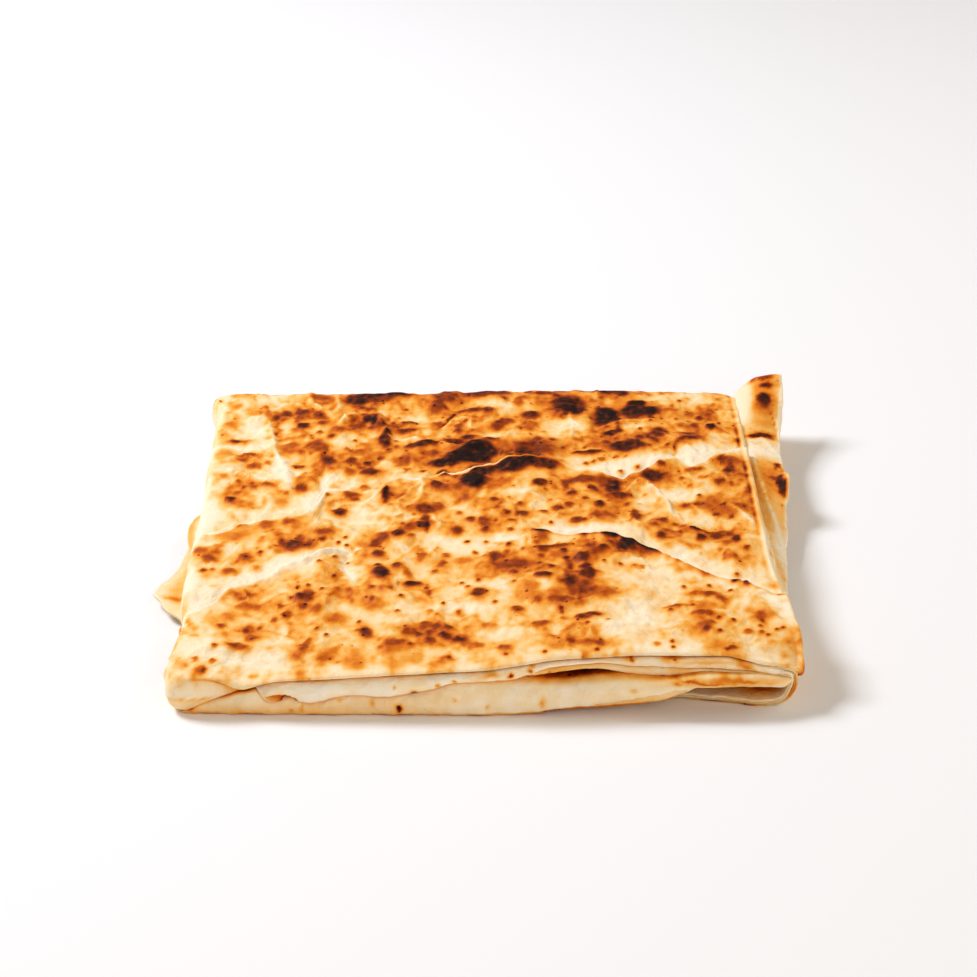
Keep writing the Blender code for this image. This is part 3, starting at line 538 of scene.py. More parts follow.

# %% [markdown]
# ## Folds, pinches and cracks
# A blister is round, but dough also buckles along lines. Each line goes through a few points of the drawing.
# A ridge has a positive height and a crack a negative one, and both run out at their ends. The sheet can
# stay higher on one side of a line than on the other. A pinched ridge is painted pale, partly because its
# crest is too narrow to press on the griddle and partly as a painted highlight; a crack is painted darker,
# partly from soot and partly as painted shade in it. Cutting such lines into a mesh by hand would need new
# edges for each. A distance to a line needs none, if the grid is fine enough.

# %% Lines in the dough
# Each: height, width, how much higher the right side is, heat added on the line, and its points.
FOLDS = [
    (1.0, 1.3, .9, -.4, [(-76, 86), (-72, 70), (-70, 52), (-65, 38), (-63, 18)]),
    (-.8, .7, .8, .1, [(-57, 31), (-53.5, 24), (-50.6, 15)]),
    (.6, 1, -.8, -.4, [(-21, 31), (-20, 22), (-21.5, 9)]), (.7, .8, .5, .15, [(-31.5, 27), (-31.5, 10)]),
    (.6, .9, .3, -.3, [(-73, 90), (-70, 96), (-65, 96), (-62, 90)]),
    (.9, 1.1, -.7, -.25, [(-62, 106), (-60, 94), (-53, 86), (-50, 78)]),
    (.7, .9, .4, -.35, [(-52, 105), (-50, 94), (-51, 86)]),
    (1.0, 1, .5, -.45, [(-49.5, 73), (-47.5, 82), (-43, 86.5)]),
    (.9, 1, .5, .1, [(-43, 86), (-37, 83), (-33.5, 76), (-32, 66), (-31, 54)]),
    (-.8, .6, .4, .35, [(-9.5, 88), (-12, 82), (-15, 75)]),
    (-.9, .7, .9, .35, [(-20, 65), (-15, 60.5), (-8, 60.5), (0, 63)]),
    (.6, .8, .4, -.35, [(-13, 76), (-11, 83), (-7, 84), (-4, 80), (-4, 72)]),
    (.5, .8, .3, .15, [(-86, 61), (-80, 60), (-74, 54)]),
    (.7, .9, -.8, -.4, [(-90, 34), (-83, 34), (-76, 31), (-70, 26), (-64, 21)]),
    (.6, .8, .5, -.2, [(-85, 44), (-79, 51), (-73, 49), (-70, 43)]),
    (.4, .7, -.3, .2, [(-89, 32), (-89.5, 8)]), (-.6, .5, .4, .45, [(65.4, 58), (64.8, 44)]),
    (.9, .8, .7, -.25, [(46.5, 19), (52.5, 30)]),
    (1.3, .9, .9, -.35, [(52.5, 30), (56.5, 20), (60, 12), (61.5, 1), (64, -4)]),
    (.6, .6, .3, .2, [(47.5, 21), (50, 11), (54, 9)]),
    (.7, .8, .4, -.25, [(71, 40), (75, 38.5), (79, 33), (82, 24)]),
    (.8, .9, .5, -.35, [(79, 9), (84, 0), (88, -9)]), (.35, .7, .2, .15, [(79, 75), (84, 69), (88, 61)]),
    (1.1, 1, .6, -.4, [(-44, -25), (-50, -28), (-58, -34), (-66, -44)]),
    (-1.0, .6, 0, .3, [(-50, -26), (-54, -29.5), (-60, -36)]),
    (-.9, 1.3, .9, -.15, [(-41, -24), (-44, -36), (-40, -47), (-32, -58)]),
    (.3, .6, .2, .2, [(-66, -82), (-58, -84), (-54, -90)]),
    (.6, .8, .4, -.35, [(-63, -4), (-59, .5), (-54, 0), (-52, -8)]),
    (.5, .8, .4, -.2, [(46, -33), (50, -33), (52, -41), (57, -45)]),
    (.6, .8, -.8, 0, [(82, -62), (86, -72), (92, -81)]),
    (.6, .9, .4, -.3, [(-87, -14), (-80, -8), (-73, -4), (-65, -3)]),
    (-.6, .6, .3, .2, [(-66, -10), (-69, -13)]),
    (.5, 1, .3, -.2, [(12, -24), (6, -26), (0, -25), (-6, -28)]),
    (.6, 1, .4, -.1, [(14, -60), (11, -50), (15, -44), (22, -43)]),
    (.4, 1, .2, 0, [(24, -66), (32, -62), (44, -56)]), (.6, .8, .3, .2, [(66, -9), (72, -12), (78, -11)]),
    (.6, .8, .3, -.2, [(-40, 8), (-35, 16), (-30, 26)]),
    (-.5, .7, .4, .1, [(-37, 33), (-33, 40), (-36, 48)]), (.5, .9, .3, 0, [(20, 48), (21, 57), (24, 66)]),
    (.6, .8, .3, -.25, [(8, 20), (15, 19.5), (21, 14)]),
    (.4, .7, .2, -.1, [(-24, -36), (-27, -50), (-20, -62)]),
    (.35, .7, .2, -.1, [(2, -60), (-8, -62), (-12, -70)]), (-.6, .6, .3, .2, [(-17, -5), (-18, -14)]),
    (.6, .8, .3, -.2, [(60, 70), (65, 62), (64, 54)]), (.6, 1, .4, -.3, [(30, 88), (31, 76), (30, 62)]),
    (.5, .9, .3, -.25, [(-30, 66), (-26, 64), (-22, 67)]),
    (.5, .9, -.4, -.25, [(-60, 16), (-56, 9), (-54, -1)]),
    (.6, .8, .4, -.3, [(-17, 2), (-14, -6), (-15, -12)]),
    (.4, .8, .3, -.2, [(-93, 4), (-90, -2), (-90, -16)]), (.5, .8, .3, -.2, [(38, 74), (50, 80), (60, 80)]),
    (.5, .8, -.4, -.2, [(70, 22), (68, 8), (74, -4)]),
    (.4, .8, .3, -.15, [(26, -70), (40, -78), (56, -76)]),
]
print("lines drawn in the top:", len(FOLDS), " highest ridge, mm:", max(fold[0] for fold in FOLDS))

# %% [markdown]
# Each line is turned into height by how far a place lies from it. Near the line the height falls off like
# exp(-distance / width), which is a sharp fold, and rounding the distance at its smallest dulls the crest to
# the thickness of dough.


# %% Heights from lines
def beside_line(points, line):
    """Distance from a line through points, signed, positive on its right, and the share of its length."""
    nearest, share, total = np.full(points.shape[:-1], 99.0), np.zeros(points.shape[:-1]), len(line) - 1
    for k, (start, end) in enumerate(zip(np.array(line[:-1], float), np.array(line[1:], float))):
        step = end - start
        dx, dy = points[..., 0] - start[0], points[..., 1] - start[1]
        t = np.clip((dx * step[0] + dy * step[1]) / (step @ step), 0, 1)
        away = np.hypot(dx - t * step[0], dy - t * step[1])
        right = np.sign(dx * step[1] - dy * step[0])
        closer = away < np.abs(nearest)
        nearest, share = np.where(closer, away * right, nearest), np.where(closer, (k + t) / total, share)
    return nearest, share


def lines(drawn, points):
    """Height and added heat of drawn lines: a crest exp(-distance / width), round at the top, and a step; the
    heat is partly painted shade and highlight.
    """
    height, warmth = np.zeros(points.shape[:-1]), np.zeros(points.shape[:-1])
    for crest, width, rise, heat, line in drawn:
        away, share = beside_line(points, line)
        runs_out = np.sqrt(np.clip(4 * share * (1 - share), 0, 1))
        rounded = np.sqrt(away ** 2 + 0.09) - 0.3
        side = rise * (ramp(away, -0.8 * width, 0.8 * width) - 0.5) * np.exp(-np.abs(away) / 6)
        height = height + runs_out * (crest * np.exp(-rounded / width) + side)
        warmth = warmth + runs_out * heat * np.exp(-(away / (0.9 * width)) ** 2)
    return height, warmth


print("a place 1 mm beside a line:", beside_line(np.array([1.0, 5.0]), [(0, 0), (0, 10)])[0])

# %% [markdown]
# ## From a mark to heat
# A mark is an ellipse, and the heat depends on how far out a place lies in it. Before that is measured, noise
# pushes the place about, so the ellipse comes out frayed like a real scorch. A mark only ever adds heat.


# %% Ellipses and their heat
def ellipse_distance(points, x, y, wide, long, turn=0):
    """Distance from an ellipse's middle, 1 on its rim: the root of (along / wide)^2 + (across / long)^2."""
    angle = math.radians(turn)
    dx, dy = points[..., 0] - x, points[..., 1] - y
    along = dx * math.cos(angle) + dy * math.sin(angle)
    across = dy * math.cos(angle) - dx * math.sin(angle)
    return np.hypot(along / wide, across / long)


def warped(points, reach, cell, seed):
    """Points pushed about by noise, so that what is drawn with them gets a frayed outline."""
    push = np.stack([layers(points, cell, seed), layers(points, cell, seed + 40), 0 * points[..., 0]], -1)
    return points + reach * push


def with_mark(heat, far, core):
    """The heat with one mark: a ring of orange out to twice its size, then the core, steeper the darker."""
    ring = ramp(core, 0.5, 0.85) * np.exp(-(far / 1.85) ** 2.5)
    heat = heat + 0.85 * ring * np.clip(0.65 - heat, 0, 1)
    return heat + np.exp(-0.4 * far ** (2 + 3 * ramp(core, 0.5, 0.8))) * np.clip(core - heat, 0, 1)


def with_marks(heat, points, marks):
    """The heat with a list of marks laid on one after the other."""
    for *ellipse, core in marks:
        heat = with_mark(heat, ellipse_distance(points, *ellipse), core)
    return heat


print("heat in the middle, on the rim and outside a scorch:",
      with_mark(0.1, np.array([0.0, 1.0, 2.0]), 0.9).round(2))

# %% [markdown]
# ## Clouds of heat
# Between the marks the dough is not even either. One field of rolling noise makes clouds of heat and, with
# the same numbers, low blisters: what stands up touches the griddle. The golden areas and pale places pull
# these clouds up and down. Long soft wrinkles, where noise crosses zero, run over everything.

# %% Clouds, golden areas and wrinkles
# Clouds, wrinkles and freckles are drawn out from front to back, the way the packet was pushed.
GRAIN = np.array([1, 0.62, 1])
LOWEST_HEAT = 0.05


def clouds(drawn_out):
    """Rolling noise in three sizes, bent out of shape by more noise, and the fine noise inside it."""
    bent = warped(drawn_out, 6, 13, 50)
    field = 0.75 * noise(bent, 20, 21) + 0.85 * noise(bent, 9.5, 22) + 0.75 * noise(bent, 4.8, 23)
    return field, 0.45 * noise(drawn_out, 2.4, 24) + 0.22 * noise(drawn_out, 1.4, 25)


def wrinkles(flat, drawn_out):
    """1 on the crest of a wrinkle, where bent noise crosses zero, in some parts of the sheet only."""
    crest = np.clip(1 - 3.2 * np.abs(noise(warped(drawn_out, 5, 12, 66), 12, 67)), 0, 1) ** 1.5
    return crest * ramp(noise(flat, 26, 68), -0.35, 0.25)


def broad_heat(flat, uneven, back):
    """Clouds squeezed between two heats by tanh, then golden areas and pale places; hotter at the back."""
    frayed = warped(flat, 1.5, 5, 53)
    heat = 0.11 + 0.52 * (0.5 + 0.5 * np.tanh(1.45 * uneven - 0.4 + 0.3 * back)) ** 1.2
    for *ellipse, core in GOLDEN:
        wanted = core + 0.03 + 0.1 * back + 0.24 * uneven
        inside = np.exp(-0.6 * ellipse_distance(frayed, *ellipse) ** 3)
        heat = heat + 0.9 * inside * np.clip(wanted - heat, 0, 1)
    for *ellipse, amount in PALE_PLACES:
        heat = heat * (1 - 0.85 * amount * np.exp(-ellipse_distance(frayed, *ellipse) ** 4))
    return heat


print("clouds at two of the three places:", clouds(SAMPLES[:2])[0].round(2))

# %% [markdown]
# ## The heat along the edges
# The flaps' lips, the bare bands behind them and the thin fold on the right follow an edge, so their heat is
# a function of the distance to it.


# %% Heat along the edges
def beside_edge(y, edge, x):
    """Distance in front of a flap's edge, negative behind it, measured square to the edge."""
    slope = edge(x + 0.5) - edge(x - 0.5)
    return (edge(x) - y) / np.sqrt(1 + slope ** 2)


def bare_behind_flaps(heat, x, y, amount, squeeze):
    """The heat less a share of it just behind each flap's edge, in a band that squeeze makes narrower."""
    for edge, bare in ((FRONT_FLAP, FRONT_FLAP_BARE), (MIDDLE_FLAP, MIDDLE_FLAP_BARE)):
        behind = np.maximum(-beside_edge(y, edge, x), 0)
        heat = heat * (1 - amount * (behind > 0.1) * np.exp(-(squeeze * behind / bare(x)) ** 4))
    return heat


def lips(heat, x, y):
    """The heat with the lip of each flap made hotter or cooler, partly as painted shade and painted
    highlight.
    """
    for edge, lip_heat_and_painted_light in ((FRONT_FLAP, FRONT_LIP_HEAT_AND_PAINTED_LIGHT), (MIDDLE_FLAP, MIDDLE_LIP_HEAT_AND_PAINTED_LIGHT)):
        heat = np.maximum(heat + lip_heat_and_painted_light(x) * hill(beside_edge(y, edge, x), 0.6, 0.8), LOWEST_HEAT)
    return heat


def right_rim(heat, x, y):
    """A pale rim, partly a painted highlight on the rounded edge, and a warm line inside it in its groove,
    partly painted shade, along the right edge, and a warm tip at its near end.
    """
    inside, behind_corner = RIGHT_EDGE(y) - x, ramp(y, -70, -40)
    heat = heat * (1 - 0.4 * ramp(2.2 - inside, 0, 0.5) * behind_corner)
    heat = heat + 0.16 * hill(inside, 2.6, 0.5) * behind_corner
    return heat + 0.1 * ramp(1.2 - inside, 0, 1) * ramp(-y, 70, 84)


print("1 mm behind the front flap's edge:", beside_edge(FRONT_FLAP(0) + 1, FRONT_FLAP, 0).round(2), "mm")

# %% [markdown]
# ## The griddle
# Now the sheet is baked, from broad to fine: clouds, marks, lips, and last the freckles, which are tiny and
# dark and appear only where the dough is toasted. The same call returns how high the dough rises, because
# heat and height have one cause.


# %% The heat of the top
def griddle(x, y, z):
    """Heat of the top, and the height of its blisters and folds in mm, from the place and smooth height."""
    flat = on_drawing(x, y, z)
    flat[..., 2] = 0
    drawn_out = flat * GRAIN
    field, fine = clouds(drawn_out)
    wrinkle = wrinkles(flat, drawn_out)
    heat = broad_heat(flat, field + fine, ramp(y, -20, 60))
    cool = bare_behind_flaps(heat, x, y, 0.9, 1) * (1 - 0.35 * wrinkle)
    crisp = warped(flat, 0.5, 2.4, 57)
    heat = with_marks(cool, crisp, SCORCHES)
    spots = [(*place, wide, SPOT_STRETCH * wide, core) for *place, wide, core in SPOTS]
    heat = with_marks(with_marks(heat, crisp, spots), flat, [(*place, *DOT) for place in DOTS])
    heat = bare_behind_flaps(heat, x, y, 0.8, 1.6)
    fold_height, warmth = lines(FOLDS, warped(flat, 0.8, 6, 70))
    fold_height = fold_height + 0.6 * wrinkle * ramp(y - FRONT_EDGE(x), 3, 12)
    heat = np.maximum(heat + warmth * (0.4 + 0.6 * ramp(heat, 0, 0.5)), LOWEST_HEAT)
    heat = lips(heat, x, y)
    heat = right_rim(heat + (0.05 * field + 0.09 * fine) * ramp(heat, 0.1, 0.4), x, y)
    blisters = 0.8 * np.tanh(0.6 * field) + 1.3 * np.clip(heat - cool, 0, 0.5) + 0.35 * np.clip(cool, 0, 0.6)
    distance, number = cells(drawn_out, 3.4, 35)
    freckle = np.exp(-(distance / 0.19) ** 2) * ramp(number, 0.66, 0.86) * ramp(heat, 0.2, 0.45)
    heat = np.maximum(heat, np.minimum(heat + 0.4 * freckle, 0.84))
    heat = heat - 0.09 * ramp(heat, 0.82, 0.95) * ramp(noise(drawn_out, 2.2, 26), -0.1, 0.5)
    return np.clip(heat, 0, 1), blisters, fold_height


print("heat in the middle of the top:", griddle(np.array(0.0), np.array(0.0), 16.0)[0].round(2))

# %% [markdown]
# ## The rough height
# Baked and folded dough is nowhere smooth. A Displace modifier would roughen it alike everywhere. Here the
# blisters rise where the heat says so, the flaps curl up at their edges, and near the rims, where hands have
# pressed, all of this calms down.


# %% The rough height
def rough_height(x, y, smooth, heat, blisters, fold_height):
    """The smooth height with everything on it: waves, blisters, wrinkles, folds, and the flaps' curled edges.

    Fine wrinkles are thin ridges where noise crosses zero. Each flap curls up a little towards its edge and
    presses down what lies just behind it, both by a share of its step that falls off like exp(-distance).
    """
    u, v = side_shares(x, y)
    drawn = on_drawing(x, y, smooth)
    drawn[..., 2] = 0
    drawn = drawn * GRAIN
    bent = warped(drawn, 4, 13, 66)
    waves = 0.8 * noise(drawn, 40, 61) + 0.8 * noise(bent, 15, 62) + 0.5 * noise(bent, 7, 63)
    fine_wrinkle = np.clip(1 - 3 * np.abs(noise(warped(drawn, 3, 9, 69), 7, 64)), 0, 1)
    fine_wrinkle = fine_wrinkle * ramp(-heat, -0.5, -0.1)
    calm = 0.25 + 0.75 * ramp(v, 0, 0.08) * ramp(1 - v, 0, 0.05) * ramp(1 - u, 0, 0.04)
    height = smooth + calm * (waves + blisters + 0.6 * fine_wrinkle - 0.6) + fold_height
    for edge, step in ((FRONT_FLAP, FRONT_FLAP_STEP), (MIDDLE_FLAP, MIDDLE_FLAP_STEP)):
        before = beside_edge(y, edge, x)
        curl = np.where(before > 0, 0.6 * np.exp(-np.abs(before) / 2.0), -0.6 * np.exp(-np.abs(before) / 7))
        height = height + step(x) * curl
    return height - 0.4 * hill(RIGHT_EDGE(y) - x, 2.6, 0.6) * ramp(y, -70, -40)


HERE = np.array([0.0, 0.0, 16.0])
print("bare dough there, mm:", rough_height(HERE[0], HERE[1], HERE[2], 0.1, 0, 0).round(2))

# %% [markdown]
# ## The grid of the top sheet
# A square grid would cut a flap's edge into stairs. Here the grid's rows follow the two edges instead: a few
# rows lie close together round each edge's lip, and the others share out what is between. That also allows
# a lip that overhangs, with a dark crack under it, which no height map could give.

# %% Rows that follow the flaps
COLUMNS, FRONT_ROWS, MIDDLE_ROWS, BACK_ROWS = 276, 96, 66, 92
LOWEST_STEP, FULL_STEP = 0.3, 1.3  # a lip is as wide as LIP says where its step is FULL_STEP high
# Rows of a lip from its high side to its low side: distance past the edge, and share of the step left.
LIP = np.array([(-1.7, 1), (-1.0, .985), (-.5, .93), (-.14, .76), (.02, .5),
                (-.12, .24), (-.4, .07), (-.5, 0), (.1, -.06), (.8, -.03)])
TOP_INSET, NOSE_INSET = 4.5, 2.6  # how far the flat top ends inside the edge, where it wraps and where not
CORNER_CUT = 0.014


def top_plan():
    """Plan of the top: x, y and, for both flaps, the share of the step that still lies under each point.

    Rows are shared out evenly between the lips. Then all points are scaled towards the middle by
    1 - cut * |a b|^((1 - cut) / (2 cut)), with a and b from -1 to 1 across and along: that rounds corners.
    """
    a = np.linspace(0, 1, COLUMNS)
    column = LEFT_EDGE(0) + TOP_INSET + a * (RIGHT_EDGE(0) - NOSE_INSET - LEFT_EDGE(0) - TOP_INSET)
    front, back = FRONT_EDGE(column) + NOSE_INSET, BACK_EDGE(column) - TOP_INSET
    rows, shares = [], []
    start, passed = front, (1.0, 1.0)
    for k, (edge, step, count) in enumerate(((FRONT_FLAP, FRONT_FLAP_STEP, FRONT_ROWS),
                                             (MIDDLE_FLAP, MIDDLE_FLAP_STEP, MIDDLE_ROWS))):
        reach = np.clip(step(column), LOWEST_STEP, FULL_STEP) / FULL_STEP
        stop = edge(column) + LIP[0, 0] * reach
        for t in np.arange(count) / count:
            rows.append(start + t * (stop - start))
            shares.append(passed)
        for past, share in LIP:
            rows.append(edge(column) + past * reach)
            shares.append((share, 1.0) if k == 0 else (0.0, share))
        start, passed = rows[-1], (0.0, 1.0) if k == 0 else (0.0, 0.0)
        rows.pop()
        shares.pop()
    for t in np.linspace(0, 1, BACK_ROWS):
        rows.append(start + t * (back - start))
        shares.append(passed)
    y = np.stack(rows, axis=1)
    left, right = LEFT_EDGE(y) + TOP_INSET, RIGHT_EDGE(y) - NOSE_INSET
    x = left + a[:, None] * (right - left)
    b = 2 * (y - front[:, None]) / (back - front)[:, None] - 1
    pull = 1 - CORNER_CUT * np.abs((2 * a - 1)[:, None] * b) ** ((1 - CORNER_CUT) / (2 * CORNER_CUT))
    middle_x, middle_y = (left + right) / 2, (front + back)[:, None] / 2
    return middle_x + (x - middle_x) * pull, middle_y + (y - middle_y) * pull, np.array(shares).T[:, None, :]


top_x, top_y, step_shares = top_plan()
top_smooth = smooth_height(top_x, top_y, step_shares)
top_heat, top_blisters, top_folds = griddle(top_x, top_y, top_smooth)
top_z = rough_height(top_x, top_y, top_smooth, top_heat, top_blisters, top_folds)
print("top grid:", top_x.shape, "height, mm:", top_z.min().round(1), "to", top_z.max().round(1))


# %% [markdown]
# ## The sides of the top sheet
# On the left and at the back the sheet wraps down to the ground in one round turn. At the front and on the
# right it ends in a thin fold. One band of profiles makes both: each profile starts on the rim of the grid
# and faces away from a smaller rectangle inside, so that neighbours fan out round the corners. A bevelled
# slab would have the same side everywhere; a band of profiles may change from a wrap to a thin edge.

# %% Seams along the front
# Height of the sheet's lower edge, and of the crease over the corner that is tucked in.
CAP_SEAM = through([
    (-95, 0.3), (-87, 0.4), (-85, 1.6), (-82.1, 3.2), (-79.7, 4.0), (-77.3, 4.7), (-74.3, 5.6),
    (-71.4, 6.7), (-69, 7.4), (-66.6, 8.3), (-64.6, 9.2), (-59.8, 10.4), (-44, 11.2), (-31, 12.1),
    (-20, 12.8), (-11, 13.4), (0, 13.9), (11, 15.4), (23, 16.6), (33, 16.7), (60, 16.5), (71, 16.6),
    (75, 15.6), (78.8, 14.4), (81.2, 13.6), (87, 12.6), (91, 10.5), (93, 7), (96, 4.5),
])
CREASE = through([
    (-83, 11.6), (-78.7, 11.1), (-75.3, 9.9), (-72.4, 8.7), (-69.5, 8.0), (-66.6, 8.7), (-64, 9.8),
])
CORNER_WRAP = (-66, -84)
print("lower edge of the sheet at the front, mm:", CAP_SEAM(np.array([-90, -45, 0, 45, 90])).round(1))

# %% [markdown]
# Shares say how much a point of the rim belongs to the front, the right, the back and the left. Round a
# corner one share falls while the next rises, and every shape below is blended with them.

# %% The rim and its shares
CORE_INSET, SIDE_ROWS = 24, 20


def rim_numbers(shape):
    """Numbers of the grid's rim, once around anticlockwise seen from above, from the front left corner."""
    i, j = shape[0] - 1, shape[1] - 1
    around = ([(k, 0) for k in range(i)] + [(i, k) for k in range(j)]
              + [(k, j) for k in range(i, 0, -1)] + [(0, k) for k in range(j, 0, -1)])
    return tuple(np.array(around).T)


rim = rim_numbers(top_x.shape)
rim_x, rim_y, rim_z = top_x[rim], top_y[rim], top_z[rim]
away = np.stack([rim_x - np.clip(rim_x, LEFT_EDGE(0) + CORE_INSET, RIGHT_EDGE(0) - CORE_INSET),
                 rim_y - np.clip(rim_y, FRONT_EDGE(0) + CORE_INSET, BACK_EDGE(0) - CORE_INSET)])
away = away / np.hypot(*away)
front_share, right_share, back_share, left_share = (np.clip(part, 0, 1) ** 2
                                                    for part in (-away[1], away[0], away[1], -away[0]))
wrap_share = back_share + left_share + front_share * ramp(rim_x, *CORNER_WRAP)
inset = (front_share + right_share) * NOSE_INSET + (back_share + left_share) * TOP_INSET
edge_x = rim_x + away[0] * inset
tucked = front_share * ramp(edge_x, -90, -75) * (1 - ramp(edge_x, -67, -62))
print("profiles round the rim:", len(rim_x), " longest inset, mm:", inset.max().round(2))

# %% [markdown]
# Each row of the band belongs to one angle of the profiles, so all profiles are worked out row by row.


# %% Profiles
def side_profile(turn):
    """Height and distance out from the edge for one row, by its angle from 90 degrees, up, to -90, down.

    The thin fold is a half ellipse down to the seam; the wrap is a squarer one down to the ground. Under the
    crease near the left corner the face lies further in, and low down it is turned under.
    """
    upper, sine, cosine = turn > 0, math.sin(turn), max(math.cos(turn), 0)
    seam = np.minimum(front_share * CAP_SEAM(edge_x) + (1 - front_share) * (rim_z - 1.7), rim_z - 1.2)
    ground = 0.2 + front_share * (np.minimum(CAP_SEAM(edge_x), rim_z - 1.2) - 0.2)
    thin_z = (rim_z + seam) / 2 + (rim_z - seam) / 2 * sine
    thin_out = (inset if upper else 2) * (cosine - 1)
    wrap_z = ground + (rim_z - ground) * (1 + math.copysign(abs(sine) ** 0.85, sine)) / 2
    wrap_out = (inset if upper else 6 - 4.5 * front_share) * (cosine ** 0.8 - 1)
    z, out = thin_z + wrap_share * (wrap_z - thin_z), thin_out + wrap_share * (wrap_out - thin_out)
    z = z + 0.6 * right_share * hill(turn, 0.8, 0.5)
    turned_under = front_share * ramp(-edge_x, 77, 84)
    hollow = 2.6 * tucked * ramp(CREASE(edge_x) - z, -0.3, 0.8) * (1 - 0.5 * ramp(ground + 2 - z, 0, 2))
    hollow = hollow - 0.8 * turned_under * hill(z, 5.6, 0.9)
    corner = 4 * (front_share * left_share + back_share * left_share + 0.6 * back_share * right_share)
    return z, out - hollow + 2.2 * corner * math.sqrt(1 - abs(sine) ** 3)


def side_point(z, out):
    """The point of each profile at a height and a distance out from the edge."""
    return at_height(rim_x + away[0] * (inset + out), rim_y + away[1] * (inset + out), z)


side = []
for turn in np.radians(np.linspace(80, -90, SIDE_ROWS)):
    z, out = side_profile(turn)
    side.append(side_point(z, out))
side.append(side_point(z + 0.5 - 2.5 * (1 - np.clip(wrap_share, 0, 1)), out - 10))
side = np.array(side)
ripple = 0.5 * noise(side, 11, 71) + 0.22 * layers(side, 4, 72, 2)
side[1:-1, :, :2] += (away * wrap_share).T * ripple[1:-1, :, None]
print("side band:", side.shape)

# %% [markdown]
# A fold that hangs down the side sees little of the griddle. Its heat starts with that of the top and fades
# to pale dough with a few specks on the way down. A lower edge that peeps out from between two layers gets
# a thin brown line, partly browning and partly painted shade in the seam. Near the left corner, painted
# shade goes under the crease and along the slit, and the face there is painted paler where light falls on it.


# %% Heat on the sides
def pale_heat(points, level=0.1, seed=80):
    """Pale dough: slow changes, and a few round specks."""
    distance, number = cells(points, 8, seed)
    speck = np.exp(-(distance / 0.13) ** 2) * ramp(number, 0.75, 0.95)
    slow = 0.09 * layers(points, 15, seed + 1) + 0.05 * noise(points, 3, seed + 2)
    return np.clip(level + slow + 0.5 * speck, 0, 1)


fade = ramp(side[..., 2] / rim_z, 0.5, 0.98)
drop = (rim_z - side[..., 2]) * (1 - front_share)
browned, *_ = griddle(side[..., 0] + away[0] * drop, side[..., 1] + away[1] * drop,
                      np.broadcast_to(top_smooth[rim], side.shape[:2]))
# The front face near the left corner is painted paler: painted light, where the light falls on it.
painted_light_near_corner = front_share * ramp(-edge_x, 70, 84)
# Heat of the side band; painted shade and painted light are added to it below.
side_heat_and_painted_light = pale_heat(side) * (1 - 0.8 * painted_light_near_corner) * (1 - fade) + browned * fade
side_heat_and_painted_light = side_heat_and_painted_light + 0.3 * back_share * hill(side[..., 2] / rim_z, 0.75, 0.25)
row_share = np.linspace(0, 1, len(side))[:, None]
# The lower rows of the fold along the front and the right are painted brown where they turn in between two
# layers: partly browning, partly painted shade in the seam.
seam_browning_and_shade = ramp(row_share, 0.62, 0.78) * (front_share * ramp(edge_x, -68, -62) + 0.4 * right_share)
side_heat_and_painted_light = side_heat_and_painted_light + seam_browning_and_shade * (0.36 + 0.2 * hill(edge_x, 8, 28) + 0.12 * ramp(edge_x, 84, 92))
side_heat_and_painted_light = side_heat_and_painted_light + 0.2 * ramp(edge_x, 88, 92) * front_share * ramp(row_share, 0.4, 0.6)
# Painted shade in the recess under the crease of the tucked corner, darker to the right, with a dark line
# right under the crease.
below = CREASE(edge_x) - side[..., 2]
painted_shade_under_crease = 0.45 * ramp(edge_x, -79, -67) * ramp(below, 0, 1) + 0.6 * hill(below, 0.2, 0.5)
side_heat_and_painted_light = side_heat_and_painted_light + tucked * painted_shade_under_crease
side_heat_and_painted_light = side_heat_and_painted_light + 0.1 * ramp(edge_x, 84, 92) * front_share
side_heat_and_painted_light = side_heat_and_painted_light + 0.2 * right_share * ramp(row_share, 0.4, 0.7)
# Painted shade along the slit: the lowest rows of the wrap near the left corner are painted darker.
painted_slit_shade = front_share * ramp(-edge_x, 63, 68) * ramp(edge_x, -88, -82)
side_heat_and_painted_light = side_heat_and_painted_light + 0.35 * ramp(row_share, 0.8, 0.93) * painted_slit_shade
# The facet turned under at the left corner is painted tan, with a line along its top and darker towards the
# ground, partly as painted shade.
facet = front_share * ramp(-edge_x, 77, 82) * ramp(5.8 - side[..., 2], -0.1, 0.4)
facet_tan_and_shade = 0.2 + 0.3 * hill(side[..., 2], 5.4, 0.5) + 0.3 * ramp(1.6 - side[..., 2], 0, 1)
side_heat_and_painted_light = side_heat_and_painted_light + facet * facet_tan_and_shade
print("heat on the sides, lowest to highest:", side_heat_and_painted_light.min().round(2), "to", side_heat_and_painted_light.max().round(2))

# %% [markdown]
# ## From points to a piece
# All pieces below are grids of points. Neighbours in a grid make squares, and a helper puts points and
# squares into a mesh. Each point also carries a number, its heat, so that the browning, and in places the
# painted shade and light laid into it, is part of the piece and bends with it. A vertex group could carry it
# too, but the material reads an attribute.


# %% Faces, and a piece of dough
def grid_faces(number):
    """Squares between neighbours of a grid of point numbers, facing up for rows along x, columns along y."""
    squares = np.stack([number[:-1, :-1], number[1:, :-1], number[1:, 1:], number[:-1, 1:]], axis=-1)
    return squares.reshape(-1, 4)


